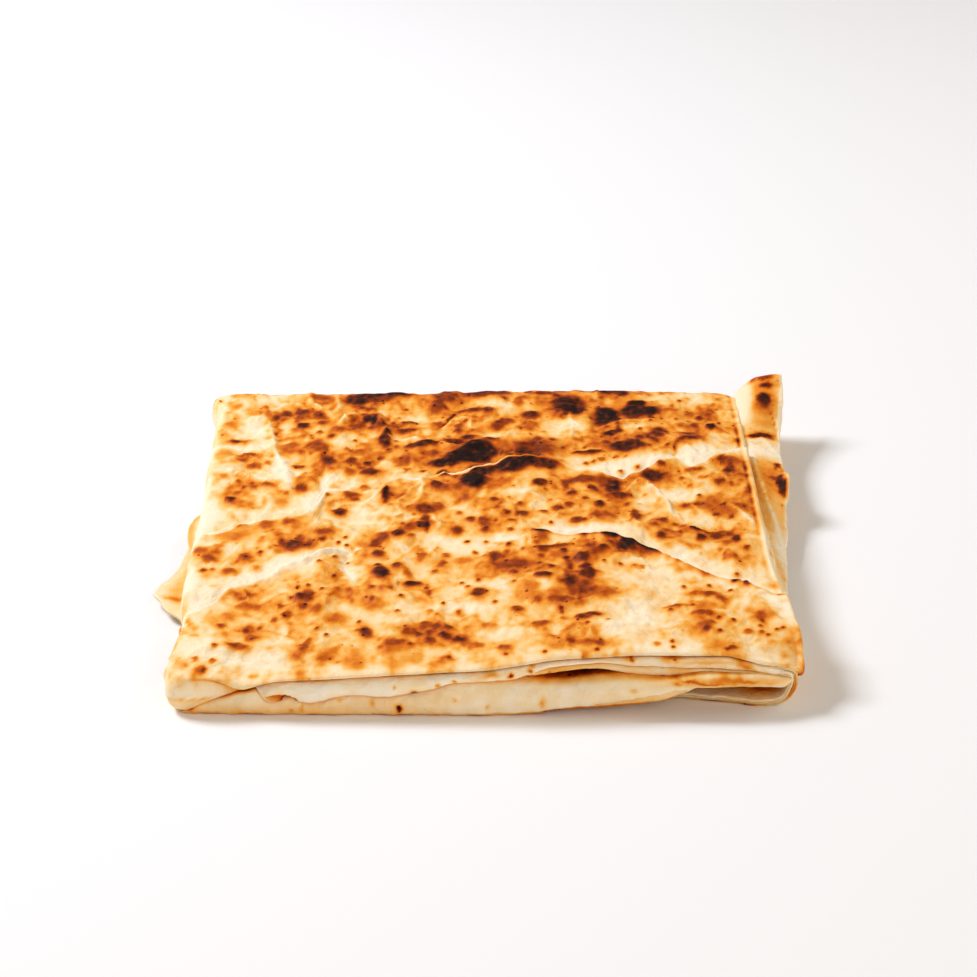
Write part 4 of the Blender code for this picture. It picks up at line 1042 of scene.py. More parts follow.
def make_piece(name, points, faces, toast_and_painted_light):
    """A mesh object from points in millimetres, arrays of faces, and the heat of each point, painted light
    included.
    """
    mesh = bpy.data.meshes.new(name)
    metres = (np.asarray(points, float).reshape(-1, 3) + CENTRE) * MM
    mesh.from_pydata(metres.tolist(), [], [face for block in faces for face in block.tolist()])
    browning = mesh.attributes.new("toast_and_painted_light", "FLOAT", "POINT")
    browning.data.foreach_set("value", np.asarray(toast_and_painted_light, np.float32).ravel())
    mesh.shade_smooth()
    piece = bpy.data.objects.new(name, mesh)
    bpy.context.scene.collection.objects.link(piece)
    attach(piece, "root")
    print(f"{name}: {len(mesh.vertices)} points, {sum(len(p.vertices) - 2 for p in mesh.polygons)} triangles")
    return piece


print("squares in a grid of 3 by 4 points:", len(grid_faces(np.arange(12).reshape(3, 4))))

# %% [markdown]
# ## The top sheet
# The grid and the band share the points of the rim, so no seam can open between them. Underneath, a fan of
# triangles closes the sheet round one point, where nobody looks: the other layers lie there.

# %% The top sheet
top_number = np.arange(top_x.size).reshape(top_x.shape)
side_number = top_x.size + np.arange(side[..., 0].size).reshape(side.shape[:2])
rings = np.concatenate([top_number[rim][None], side_number])
rings = np.concatenate([rings, rings[:, :1]], axis=1)
middle_number = top_x.size + side[..., 0].size
fan = np.stack([rings[-1, 1:], rings[-1, :-1], np.full(rings.shape[1] - 1, middle_number)], axis=-1)
UNDER_MIDDLE = [0, 0, 8]
top_surface = at_height(top_x, top_y, top_z)
top_points = np.concatenate([top_surface.reshape(-1, 3), side.reshape(-1, 3), [UNDER_MIDDLE]])
top_sheet = make_piece("top_sheet", top_points, [grid_faces(top_number), grid_faces(rings[::-1].T), fan],
                       toast_and_painted_light=np.concatenate([top_heat.ravel(), side_heat_and_painted_light.ravel(), [0.1]]))

# %% [markdown]
# ## Folds that show along the front
# Under the top sheet the dough goes back and forth. Each fold shows as a rounded nose, so each is a solid
# leaf: one profile, carried from left to right, whose upper and lower seams and reach follow curves. A
# curve object with a bevel keeps one cross-section, while these noses swell and thin out along the front.


# %% One fold
NOSE_ROWS, LEAF_DEPTH = 23, 20


def leaf_ripple(points):
    """Small dents of the noses: they move the dough in and out, and a little up and down."""
    dents = 0.55 * noise(points, 13, 91) + 0.4 * layers(points, 5, 92, 3)
    lift = 0.2 * noise(points, 9, 95)
    return np.stack([0 * dents, dents, lift * ramp(points[..., 2], 0.5, 3)], -1)


def front_leaf(name, start, end, reach, high, low, round_by, heat, hollow, step=0.6, tilt=1.2):
    """A leaf whose nose spans the heights from low to high at each x and reaches to reach, facing the front.

    Each profile is a half ellipse that is round_by deep, squarer below, and a flat part runs LEAF_DEPTH in.
    Its upper and lower sides come together by tilt on the way in, which keeps leaves from lying in one plane.
    hollow says how far the nose is pressed in at an x and z. Where the nose turns into the gap between two
    noses it is painted darker: painted shade.
    """
    x = np.linspace(start, end, int((end - start) / step))[:, None]
    turn = np.radians(np.linspace(90, -90, NOSE_ROWS))
    top, bottom = high(x), low(x)
    half = np.maximum(top - bottom - 0.25, 0.3) / 2
    y = reach(x) + round_by(x) * (1 - np.cos(turn)) * np.where(turn < 0, 0.4, 1)
    z = (top + bottom) / 2 + half * np.sin(turn)
    deep = np.repeat(y[:, :1] + LEAF_DEPTH - 17 * ramp(x, end - 7, end) ** 2, 2, axis=1)
    inner = np.concatenate([bottom + np.minimum(tilt, half), top - np.minimum(tilt, half) * 0.2], axis=1)
    below_y, below_z = y[:, -1:] + 2.5, bottom + 0.15 * np.minimum(tilt, half)
    # Painted shade where the nose turns away into the gaps above and below it.
    painted_gap_shade = 0.3 * ramp(y - reach(x), 1, 3) + 0.4 * ramp(y - reach(x), 0.35, 1) * (turn < -0.9)
    y, z = np.concatenate([y, below_y, deep], axis=1), np.concatenate([z, below_z, inner], axis=1)
    points = at_height(x, y, z)
    nose = points[:, :NOSE_ROWS]
    nose[..., 1] += hollow(nose[..., 0], nose[..., 2])
    nose += leaf_ripple(nose)
    number = np.arange(points[..., 0].size).reshape(points.shape[:2])
    ring = np.concatenate([number, number[:, :1]], axis=1)
    ends = [number[:1, ::-1], number[-1:]]
    toast_and_painted_light = np.clip(heat(points) + np.pad(painted_gap_shade, ((0, 0), (0, 3)), constant_values=0.1), 0, 1)
    return make_piece(name, points, [grid_faces(ring[:, ::-1]), *ends], toast_and_painted_light=toast_and_painted_light)


print("dents of a nose at two places, mm:", leaf_ripple(SAMPLES[:2])[:, 1].round(2))

# %% [markdown]
# ## Seams between the folds
# Three folds show: the roll at the bottom, the second fold above it, and on the right a third one between
# them. Each seam is one curve that the leaf above and the leaf below it share, give or take a hair.

# %% Heights of the seams
SPLIT_SEAM = through([
    (8, 12.3), (20, 14.5), (28, 15.2), (35, 15.3), (44.7, 14.0), (52, 13.8), (60, 13.5), (66.6, 13.2),
    (76.3, 12.7), (85, 10.9), (92.8, 9.4), (94, 9.2),
])
MIDDLE_SEAM = through([
    (-66.5, 8.9), (-65.6, 8.0), (-64.6, 6.4), (-62.7, 4.6), (-59.8, 4.1), (-56.4, 4.6), (-53.9, 4.4),
    (-50.1, 3.8), (-46.7, 4.3), (-44.2, 5.3), (-40.3, 6.1), (-36, 6.4), (-31.1, 6.1), (-26.2, 6.4),
    (-20.9, 7.0), (-14, 8.8), (-8, 10.4), (8, 10.7), (17, 12.1), (23, 12.9), (30, 13.7), (35, 13.5),
    (43.7, 11.8), (53.9, 11.2), (56.9, 11.4), (61.7, 12.1), (66.6, 12.4), (78.7, 12.1), (83.6, 11.3),
    (85.5, 10.6), (92.3, 9.4), (94, 9),
])
ROLL_LOW = through([
    (-88, 0), (5, 0), (17, 0.5), (22.9, 1.1), (34, 1.6), (42.3, 2.6), (52, 4.4), (56.9, 6.0), (59.8, 7.1),
    (62, 8.4), (69, 8.7), (76, 8.5), (81, 8.2), (85, 7.6), (87.5, 7.2), (90.4, 7.9), (91, 9),
])
ROLL_HIGH = through([
    (-88, 0.4), (-85, 1.6), (-82.1, 3.2), (-79.7, 4.0), (-77.3, 4.7), (-74.3, 5.6), (-71.4, 6.7),
    (-69, 7.4), (-66, 8.0), (-64.6, 6.8), (-62.7, 5.0), (-59.8, 4.5), (-56.4, 5), (-53.9, 4.8), (-50, 4.2),
    (-46.7, 4.7), (-44, 5.7), (-40, 6.5), (-36, 6.8), (-31, 6.5), (-26, 6.8), (-21, 7.4), (-14, 9.2),
    (-8, 10.8), (8, 11.1), (15, 11.4), (20, 11.1), (24, 11.0), (30, 11.8), (35, 12.5), (39, 12.5),
    (43.7, 12.1), (53.9, 11.5), (61.7, 12.3), (66.6, 12.6), (78.7, 12.3), (83.6, 11.5), (88, 10.4),
    (91, 9.6),
])
print("the roll's height at the right, mm:", ROLL_LOW(60).round(1), "to", ROLL_HIGH(60).round(1))

# %% [markdown]
# How far a nose reaches to the front, and how deep its rounding is, differ along it too: the lower a fold
# lies, the further out it comes, and the bundle is roundest where it is fullest.

# %% Reach of the folds
ROLL_REACH = through([
    (-88, -104.4), (-84, -105.2), (-60, -106.2), (-20, -106.8), (0, -107.4), (50, -107), (80, -105.2),
    (88, -103.5), (91, -101.5),
])
ROLL_ROUND = through([
    (-88, 1.6), (-60, 2), (-30, 2.6), (0, 3.2), (12, 4.6), (30, 6), (45, 4), (65, 2.2), (91, 1.6),
])
SECOND_REACH = through([
    (-66.5, -103), (-64.5, -105.6), (-61, -107.1), (-40, -107.3), (-20, -107.2), (0, -106.4), (25, -104),
    (45, -102.8), (75, -102.6), (88, -101.6), (92, -99.5), (94, -96),
])
THIRD_REACH = through([
    (8, -103), (17, -104), (30, -103.4), (45, -103), (75, -103), (88, -101.6), (92, -98.6), (94, -95),
])
print("reach of the roll and the second fold, mm:", ROLL_REACH(0).round(1), SECOND_REACH(0).round(1))

# %% [markdown]
# ## Browning on the folds
# The folds are inner dough that shows only its rounded edge, so they stay pale, with single specks and a few
# streaks where an edge met the iron. Only these are listed; the rest is slow noise.

# %% Marks on the folds
# The turned edge along the roll's foot: its upper line.
HEM_LINE = through([
    (12, 0.2), (17, 1.6), (23, 2.5), (31.6, 3.3), (35, 4.1), (41.3, 5.1), (47.1, 6.4), (53.9, 7.8),
    (57, 8.5), (61, 8.3),
])
# Marks on the noses, seen from the front: x, z, half width, half height, turn if turned, heat.
ROLL_MARKS = [
    (70, 10.5, 13, 1.3, -3, .4), (63.5, 10.7, 5.2, .3, -6, .7), (56.5, 10.2, 1, .4, .58),
    (71.2, 11.1, 3.4, .7, .58), (77, 10.7, 2.8, .4, -4, .62), (83, 10.2, 3, .5, -10, .38),
    (-24, 2.5, .65, .85, 1), (-55.4, 1.4, .5, .4, -40, .6), (-52, 2.3, .3, .7, .5), (-31.8, 4, .5, .5, .5),
    (17.9, 4.7, .6, 1.1, .5), (-41, 5.4, .5, .4, .45), (-8, 6, .4, .4, .4), (2, 3, .4, .5, .4),
    (44, 8.5, .5, .4, .4),
]
SECOND_MARKS = [
    (-19.5, 7.8, .8, .6, .76), (-12.6, 10.1, .5, .5, .62), (-8, 11.4, .6, .4, .62),
    (8.4, 12.6, .6, .6, .88), (14.1, 13.8, .5, .5, .76), (2.7, 12.6, 2, .5, 5, .5),
    (-25.4, 9.6, .4, .4, .5), (43.7, 16.3, .6, .5, .74), (55.5, 16.5, 2.2, .5, 4, .56),
    (76.5, 14.3, 2.4, .7, -22, .6), (42, 17, 1, .7, .55), (66, 15.4, 5, .5, .4),
]
print("marks on the roll:", len(ROLL_MARKS), " on the second fold:", len(SECOND_MARKS))

# %% [markdown]
# Two shapes press a nose in: the hem along the roll's foot, and the open end of the second fold. Their heat
# is worked out from the same functions, so that the painted shade in them and the shape agree.


# %% Hem, open end and heat of the folds
def hem(x, z):
    """The turned edge lies a little further in than the front of the roll."""
    return 0.8 * ramp(HEM_LINE(x) - z, -0.1, 0.3) * ramp(x, 14, 22) * (1 - ramp(x, 58, 62))


def open_end(x, z):
    """The left end of the second fold is an open roll, so its nose has a lens-shaped hollow there."""
    middle = 5.8 - 0.014 * (x + 61) ** 2 * (x > -61)
    return ramp(1 - np.hypot((x + 58.3) / 5.3, (z - middle) / 1.4), 0, 0.4)


def roll_heat(points):
    """Pale, browned streaks on the right part, more colour at the foot; darker in the gap above, along the
    slit, on the tan turned edge and low on the left, partly as painted shade.
    """
    x, z = points[..., 0], points[..., 2]
    frayed = warped(at_height(x, z), 0.7, 4, 104)
    # The gap under the folds above is dark brown: partly brown dough, partly painted shade.
    inside = ramp(z, 0.93 * ROLL_HIGH(x), ROLL_HIGH(x)) * ramp(points[..., 1], -106, -102) * hill(x, 28, 14)
    foot = hill(z, 0, 0.7) * ramp(noise(points, 6, 108), -0.1, 0.5) * ramp(-x, -20, 0)
    heat = pale_heat(points, 0.02, 100)
    # Darker low on the left: painted shade.
    heat = heat + 0.2 * ramp(5 - z, 0, 5) * ramp(-x, -10, 60) + 0.08 * ramp(-x, -10, 30)
    # A dark line along the slit, where the roll meets the wrap of the top sheet: painted shade.
    heat = heat + 0.42 * hill(z - ROLL_HIGH(x), -0.1, 0.45) * ramp(-x, 63, 68) * ramp(x, -87, -80)
    # The turned edge is painted tan, with a darker line along its upper edge, partly as painted shade.
    heat = heat + 0.2 * (hem(x, z) > 0.4) + 0.12 * hill(hem(x, z), 0.4, 0.3) + 0.6 * inside + 0.35 * foot
    heat = with_marks(heat, frayed, ROLL_MARKS)
    under = ramp(points[..., 1] - ROLL_REACH(x), 1.6, 3) * (1 - ramp(z - ROLL_LOW(x), 0.4, 1))
    return heat + under * (pale_heat(points, 0.2, 109) - heat)


def fold_heat(seed, level=0.1, edge=0.12, marks=()):
    """A function for the heat of a pale fold that is a little browned in places, with painted shade in its
    open end.
    """
    def heat(points):
        x, z = points[..., 0], points[..., 2]
        drawn = warped(at_height(x, z), 0.5, 4, seed + 9)
        pale = pale_heat(points, level, seed) + edge * ramp(noise(points, 10, seed + 7), 0, 0.5)
        # The hollow of the open end is painted darker: painted shade.
        return with_marks(pale, drawn, marks) + 0.42 * open_end(x, z) * (x < -50)

    return heat


print("hem at its upper line, mm further in:", hem(40, HEM_LINE(40)).round(2))

# %% [markdown]
# ## The three folds
# With curves and heat in hand, each fold is one call. It ends where the layer above it begins, so the folds
# fit without being moved into place.

# %% The folds
roll = front_leaf("roll", -87.8, 90.8, ROLL_REACH, ROLL_HIGH, ROLL_LOW, ROLL_ROUND, roll_heat, hem)
second_fold = front_leaf("second_fold", -66.2, 94, SECOND_REACH, CAP_SEAM,
                         lambda x: MIDDLE_SEAM(x) + ramp(x, 8, 20) * (SPLIT_SEAM(x) - MIDDLE_SEAM(x)),
                         through([(-66, 2.5), (-40, 3.4), (0, 2.6), (20, 1.8), (94, 1.6)]),
                         fold_heat(110, 0.04, 0.08, SECOND_MARKS), lambda x, z: 3 * open_end(x, z))
# The third fold lies set back between the other two and is painted tan, partly as painted shade.
third_fold = front_leaf("third_fold", 9, 94, THIRD_REACH, lambda x: SPLIT_SEAM(x) + 0.1, MIDDLE_SEAM,
                        through([(9, 1.6), (94, 1.4)]), fold_heat(120, 0.22, 0.1), lambda x, z: 0 * x)

# %% [markdown]
# ## Single sheets
# The ground sheet, the strip on the right and the flap on the left are single layers of dough. A sheet is a
# curved middle surface, a function of two shares, with half the thickness added on both sides of it. Towards
# its edges the rows lie close together and the thickness falls off on a circle, so that the edge is round.
# A Solidify modifier would leave a square edge, which looks like card and not like dough.


# %% One sheet
def edged(length, step, thickness):
    """Shares from 0 to 1 along a length, close together at both ends, and the roundness of each row."""
    radius, turn = thickness / 2, np.radians([10, 32, 55, 76])
    near = radius * (1 - np.cos(turn))
    near = near - near[0]
    inner = np.linspace(radius, length - radius, max(3, round((length - 2 * radius) / step)))
    place = np.concatenate([near, inner, length - near[::-1]])
    return place / length, np.concatenate([np.sin(turn), np.ones(len(inner)), np.sin(turn)[::-1]])


def sheet_piece(name, surface, length, width, thickness, heat, step=1.2):
    """A closed sheet round the middle surface surface(t, s), where t runs along its length and s across it.

    Seen from the upper side, s runs to the right when t runs away from the viewer. heat takes the points and
    both shares, and up, which is 1 on the upper side and -1 on the lower one.
    """
    along, round_along = edged(length, step, thickness)
    across, round_across = edged(width, step, thickness)
    t, s = np.meshgrid(along, across, indexing="ij")
    middle = surface(t, s)
    normal = np.cross(np.gradient(middle, across, axis=1), np.gradient(middle, along, axis=0))
    normal /= np.linalg.norm(normal, axis=-1, keepdims=True)
    half = normal * (thickness / 2 * round_along[:, None] * round_across)[..., None]
    points = np.stack([middle + half, middle - half])
    number = np.arange(points[..., 0].size).reshape(points.shape[:3])
    upper, lower = number
    walls = [(upper[:, 0], lower[:, 0]), (lower[:, -1], upper[:, -1]),
             (lower[0], upper[0]), (upper[-1], lower[-1])]
    faces = [grid_faces(upper.T), grid_faces(lower)] + [grid_faces(np.stack(wall)) for wall in walls]
    warmth = np.stack([heat(middle, t, s, 1), heat(middle, t, s, -1)])
    return make_piece(name, points, faces, toast_and_painted_light=warmth)


print("rows along a sheet 10 mm long:", len(edged(10, 1.2, 1.3)[0]))

# %% [markdown]
# ## The ground sheet
# The ground sheet carries everything. It lies flat under the packet, and on the right it curls up and over,
# so that its near end is an open, flattened loop. It is bent with two curves, x and z for the length along
# the path, because the dough keeps its length when it curls, and a lattice would stretch it.

# %% The path of the loop
PLY = 1.3
PLY_MIDDLE = PLY / 2
GROUND_FRONT = through([
    (-93, -101), (5, -101), (30, -99), (49, -98), (56, -97), (65, -98), (75, -100), (81, -101.6),
    (87, -101.6), (93, -100.5),
])
# The loop on the right: for the length along the path from x = 80, its x and its z.
LOOP_X = through([
    (0, 80), (5, 85), (9.5, 89.2), (13, 91.3), (16, 92), (19, 91.7), (22, 90), (26, 86.4), (30, 82.4),
])
LOOP_Z = through([
    (0, 0.65), (5, 0.75), (9.5, 2.2), (13, 4.9), (16, 7.8), (19, 10.2), (22, 11.7), (26, 12.4), (30, 12.6),
])
FLOOR_END, FLOOR_LENGTH, LOOP_LENGTH = 80, 166.0, 30


def loop_path(run, shrink, lift):
    """Points of the floor and the loop at a length along the path; an inner layer is shrunk and lifted."""
    past = run - FLOOR_LENGTH
    x = np.where(past < 0, FLOOR_END + past, LOOP_X(np.maximum(past, 0)))
    z = np.where(past < 0, PLY_MIDDLE, LOOP_Z(np.maximum(past, 0)))
    bend = ramp(past, 0, 14)
    return x - shrink * bend, z + lift * (1 - 1.6 * ramp(past, 12, 24))


loop_x, loop_z = loop_path(FLOOR_LENGTH + np.arange(LOOP_LENGTH), 0, 0)
print("the loop reaches x", loop_x.max().round(1), "and z", loop_z.max().round(1), "mm")

# %% [markdown]
# Its underside has lain on the griddle, so its marks are those of the top, turned round and moved. The grid
# is coarser, and so that the marks don't look like stairs, each point takes the mean of three places.

# %% The ground sheet
GROUND_BACK = 103.5
UNDERSIDE_SHIFTS = (-0.6, 0, 0.6)


def ground_surface(t, s):
    """From the front edge, t = 0, to the back, and from the left, s = 0, along the floor and up the loop."""
    x, z = loop_path(s * (FLOOR_LENGTH + LOOP_LENGTH), 0, 0)
    front = GROUND_FRONT(x) + 0.9
    y = front + t * (GROUND_BACK - front)
    points = at_height(x, y, z)
    wall = ramp(x, 86, 91)
    points[..., 0] += 0.7 * wall * noise(points, 13, 130) * ramp(t, 0, 0.05)
    return points


def ground_heat(points, t, s, up):
    """Pale inside, browned on the wall of the loop, and griddled like the top on the underside."""
    turned = warped(points, 6, 30, 133)
    x, y = -turned[..., 0], turned[..., 1] + 7
    under = sum(griddle(x, y + shift, SHEET_HEIGHT)[0] for shift in UNDERSIDE_SHIFTS) / len(UNDERSIDE_SHIFTS)
    pale = pale_heat(points, 0.16, 135) + 0.12 * hill(points[..., 2], 2, 3)
    pale = pale + 0.4 * ramp(points[..., 0], 88, 91) * hill(points[..., 2], 4.5, 4) * ramp(-t, -0.02, 0)
    return pale if up > 0 else under + (pale - under) * ramp(points[..., 2], 1.5, 5)


ground_sheet = sheet_piece("ground_sheet", ground_surface, 204, 196, PLY, ground_heat, 2.0)

# %% [markdown]
# Inside the loop a second layer shows, a rolled remnant that follows the first one. It is the same path,
# shrunk and lifted by about one thickness, and it ends where the packet hides it.

# %% The layer inside the loop
INNER_LENGTH, INNER_WIDTH = 26, 98


def inner_surface(t, s):
    """A short length of the loop's path, one layer further in, from the front edge, t = 0, inwards."""
    x, z = loop_path(FLOOR_LENGTH - 74 + s * INNER_WIDTH, 1.5, 1.35)
    front = GROUND_FRONT(x) - 0.3
    points = at_height(x, front + INNER_LENGTH * t, z)
    points[..., 1] += 0.5 * layers(points, 5, 141) * (1 - t)
    points[..., 2] += 0.25 * noise(points, 8, 142) * ramp(s, 0.1, 0.3)
    return points


def inner_heat(points, t, s, up):
    """Pale at its front edge and darker on the way in and by the right wall: painted shade inside the loop.
    """
    painted_shade_way_in = 0.35 * ramp(t, 0.05, 0.5) + 0.3 * hill(points[..., 0], 82, 6) * ramp(t, 0.02, 0.3)
    return np.clip(pale_heat(points, 0.14, 144) + painted_shade_way_in, 0, 1)


inner_sheet = sheet_piece("inner_sheet", inner_surface, INNER_LENGTH, INNER_WIDTH, PLY, inner_heat, 1.0)

# %% [markdown]
# ## The strip on the right
# The strip comes out from under the top sheet and slopes down to its outer edge. Its far end is turned up
# and rolled over on the left; half way along, a short piece of its outer edge curls up. Simulated cloth would
# hang like this too, but not curl where it should. So the slope across is a formula, and the outer edge and
# its height are curves.

# %% Edge, marks and folds of the strip
STRIP_FRONT, STRIP_LENGTH, STRIP_WIDTH = -78, 185, 18
STRIP_OUT = through([
    (-78, 91.5), (-66, 93), (-51, 94.9), (-42, 95), (-23, 96.4), (3, 98.7), (24, 100.4), (30, 102.2),
    (36, 102.8), (41, 102.2), (47, 101.9), (59, 101.7), (68, 101.9), (77, 102.7), (88, 104.2), (97, 105.4),
    (103, 105.6), (107, 105.6),
])
STRIP_LOW = through([
    (-78, 7), (-51, 4), (-23, 4.6), (3, 6.2), (24, 8.4), (31, 9.6), (37, 10.2), (43, 10.4), (50, 10.6),
    (59, 10.8), (68, 11), (77, 11.8), (88, 13.2), (97, 16.4), (102, 18.8), (107, 22),
])
# x, y, half width, half length, turn if it is turned, heat.
STRIP_MARKS = [
    (98, 84, 3.2, 9, .42), (99, 100, 3.2, 8, .46), (97, 90, 2.6, 4, .66), (98.2, 94.5, 2.4, 3.2, .93),
    (97.8, 91, 1.5, 3, .8), (100.4, 102, 2.1, .9, 12, .9), (99.5, 106, 2.4, 1.4, .8),
    (95.2, 106, 1, .9, .8), (94.4, 71.4, 3.2, 1.1, 18, .9), (97.6, 73.4, 2.2, 1.1, .92),
    (97, 80, 2.2, 1.1, 10, .52), (99.4, 49.6, 1.1, 1.5, .86), (101.4, 47.5, .8, 1.8, -20, .95),
    (96.5, 44, 4, 6, .54), (99.3, 33.5, 1.7, 5.2, 4, .95), (97.4, 38.4, 2, 1.6, .82), (95, 36, 4, 5, .62),
    (93.6, 30, 3, 8, .46), (98, 18, 3, 8, .36), (100.6, 11, .9, 3.4, .66), (98.6, 22, .7, .9, .7),
    (99.4, 19.6, .7, .6, .68), (98.2, 8, .6, .7, .55), (93.4, -20, 1.1, 8, 8, .34), (95, -27, .8, 1, .5),
    (95.5, -50, .8, 3, .6),
]
# Lines along the strip: a second edge beside the top sheet, and creases where the far end is turned up.
STRIP_FOLDS = [
    (.7, .7, .3, -.25, [(91, 62), (91.6, 45), (92.8, 26), (95, 8), (96.2, -6)]),
    (-.5, .5, -.5, .3, [(99.8, 88), (101.4, 80), (102, 70)]),
    (.5, .8, -.3, -.2, [(91, 66), (96, 69), (101, 60)]), (.4, .7, .3, -.2, [(91, 64), (95, 62), (99, 56)]),
    (-.4, .4, 0, .25, [(96.4, 53), (98.6, 49), (98, 44)]),
]
print("marks on the strip:", len(STRIP_MARKS), " height of its far end, mm:", STRIP_LOW(107))


# %% The strip
def strip_surface(t, s):
    """Across the strip, from under the top sheet over a low crest to the outer edge.

    The far end rises to the right like a ramp with a round left side. A short piece of the edge curls up.
    """
    row = STRIP_FRONT + STRIP_LENGTH * t
    inner_x = 83 + 5.4 * ramp(row, 66, 94)
    outer_x, far = STRIP_OUT(row), ramp(row, 74, 107)
    curl = np.exp(-((row - 35) / 6.2) ** 4)
    x = inner_x + s * (outer_x - inner_x)
    share = s + far * (1 - (1 - s) ** 2.2 - s)
    height = (13.4 - 0.6 * far) * (1 - share) + STRIP_LOW(row) * share
    height = height + (0.8 + 3.2 * hill(row, 90, 12)) * np.sin(math.pi * s ** (1 - 0.35 * far))
    height = height + 3.4 * curl * ramp(s, 0.74, 0.98)
    points = at_height(x - 0.8 * curl * ramp(s, 0.9, 1), row + 0 * s, height)
    crest, _ = lines(STRIP_FOLDS, at_height(points[..., 0], points[..., 1]))
    waves = 0.5 * noise(points, 16, 150) + 0.35 * layers(points, 6, 151)
    points[..., 2] += crest + ramp(s, 0.3, 0.6) * waves
    points[..., 0] += ramp(s, 0.6, 1) * 0.4 * layers(points, 9, 153)
    return points


def strip_heat(points, t, s, up):
    """Golden behind y = 0, pale in front, along the left side of the far end and along the outer edge."""
    flat = at_height(points[..., 0], points[..., 1])
    frayed, row = warped(flat, 1.2, 5, 154), points[..., 1]
    golden = (0.16 + 0.12 * noise(frayed, 10, 158)) * ramp(row, -4, 14) * (1 - ramp(s, 0.86, 0.97))
    golden = golden + 0.2 * (1 - ramp(s, 0.6, 0.78)) * ramp(row, -30, 0) * (1 - ramp(row, 48, 60))
    heat = pale_heat(flat, 0.1, 155) + golden
    heat = heat * (1 - 0.9 * hill(row, 58, 8))
    if up > 0:
        heat = with_marks(heat, frayed, STRIP_MARKS) + lines(STRIP_FOLDS, flat)[1]
        heat = heat * (1 - 0.75 * ramp(row, 74, 84) * (1 - ramp(s + 0.06 * noise(flat, 6, 159), 0.3, 0.46)))
        pale_edge = ramp(s, 0.93, 0.985) + ramp(row, 74, 84) * (1 - ramp(row, 96, 102)) * ramp(s, 0.85, 0.9)
        heat = heat * (1 - 0.75 * np.clip(pale_edge, 0, 1))
    return np.clip(heat, 0.03, 1)


strip = sheet_piece("strip", strip_surface, STRIP_LENGTH, STRIP_WIDTH, PLY, strip_heat, 0.9)

# %% [markdown]
# ## The flap on the left
# The flap is the pointed corner of an inner layer, which slipped out while the packet was folded. Its
# outline is a curve, and its root lies hidden under the top sheet, so nothing has to be joined there.

# %% The flap
FLAP_FRONT, FLAP_LENGTH, FLAP_WIDTH, FLAP_ROOT = -53, 63, 14, -86
FLAP_EDGE = through([
    (-53, -91.5), (-48, -94.3), (-44, -97.7), (-38, -100.5), (-33, -103), (-27, -102), (-22, -99.8),
    (-14, -97), (-4, -95.7), (2, -95), (10, -94),
])


def flap_surface(t, s):
    """From its outer edge, s = 0, to under the top sheet, s = 1."""
    row = FLAP_FRONT + FLAP_LENGTH * t
    x = FLAP_EDGE(row) + s * (FLAP_ROOT - FLAP_EDGE(row))
    z = 2.6 + 1.2 * s + 0.5 * (1 - s) ** 4 + 0.7 * hill(row, -36, 4) * (1 - s)
    points = at_height(x, row, z)
    points[..., 2] += 0.25 * layers(points, 7, 160) + 0.5 * ramp(row, -22, -8)
    return points


def flap_heat(points, t, s, up):
    """Pale, golden towards its root, with one streak across its tip."""
    row = points[..., 1]
    streak = hill(row + 37 + 0.35 * (points[..., 0] + 96), 0, 1.6) * hill(points[..., 0], -96, 4)
    golden = 0.25 * ramp(s, 0.12, 0.4) * ramp(row, -44, -30)
    return np.clip(pale_heat(points, 0.14, 163) + golden + 0.45 * streak, 0, 1)


flap = sheet_piece("flap", flap_surface, FLAP_LENGTH, FLAP_WIDTH, PLY, flap_heat, 0.9)

# %% [markdown]
# Along the same side a few short edges of that layer peep out. They differ only in five numbers, so one
# function and a loop make them all.

# %% Short edges
# y at the near and far end, how far past the left edge, height, heat.
SHORT_EDGES = [
    (-4, 24, 3.6, 5.6, 0.12), (-71, -56, 1.2, 4.0, 0.3), (-83, -71, 2.2, 4.2, 0.25),
    (-95, -86, 1.6, 6.2, 0.02),
]
ROOT = 6  # how far inside the left edge they start


def short_edge(k, near, far, past, height, level):
    """A small sheet that bulges out past the left edge, like a half circle, between two places."""
    def surface(t, s):
        row = near + (far - near) * t
        bulge = np.sqrt(np.clip(1 - (2 * t - 1) ** 2, 0.02, 1))
        x = LEFT_EDGE(row) + ROOT - (1 - s) * (ROOT + past * bulge)
        z = height + 0.6 * s - 0.8 * (1 - s) * (2 * t - 1) ** 2
        points = at_height(x, row, z)
        points[..., 2] += 0.3 * noise(points, 5, 170 + k)
        return points

    def heat(points, t, s, up):
        return np.clip(pale_heat(points, level, 175 + k) + 0.3 * hill(s, 0.1, 0.12), 0, 1)

    return sheet_piece(f"short_edge_{k}", surface, far - near, ROOT + past, 1.2, heat, 0.8)


short_edges = [short_edge(k, *row) for k, row in enumerate(SHORT_EDGES)]

# %% [markdown]
# ## One dough for everything
# Every piece is the same dough, so one material paints them all. Its nodes could be placed by hand in the
# shader editor. A script reads better if a sum of sockets looks like a sum, and this small class does that.


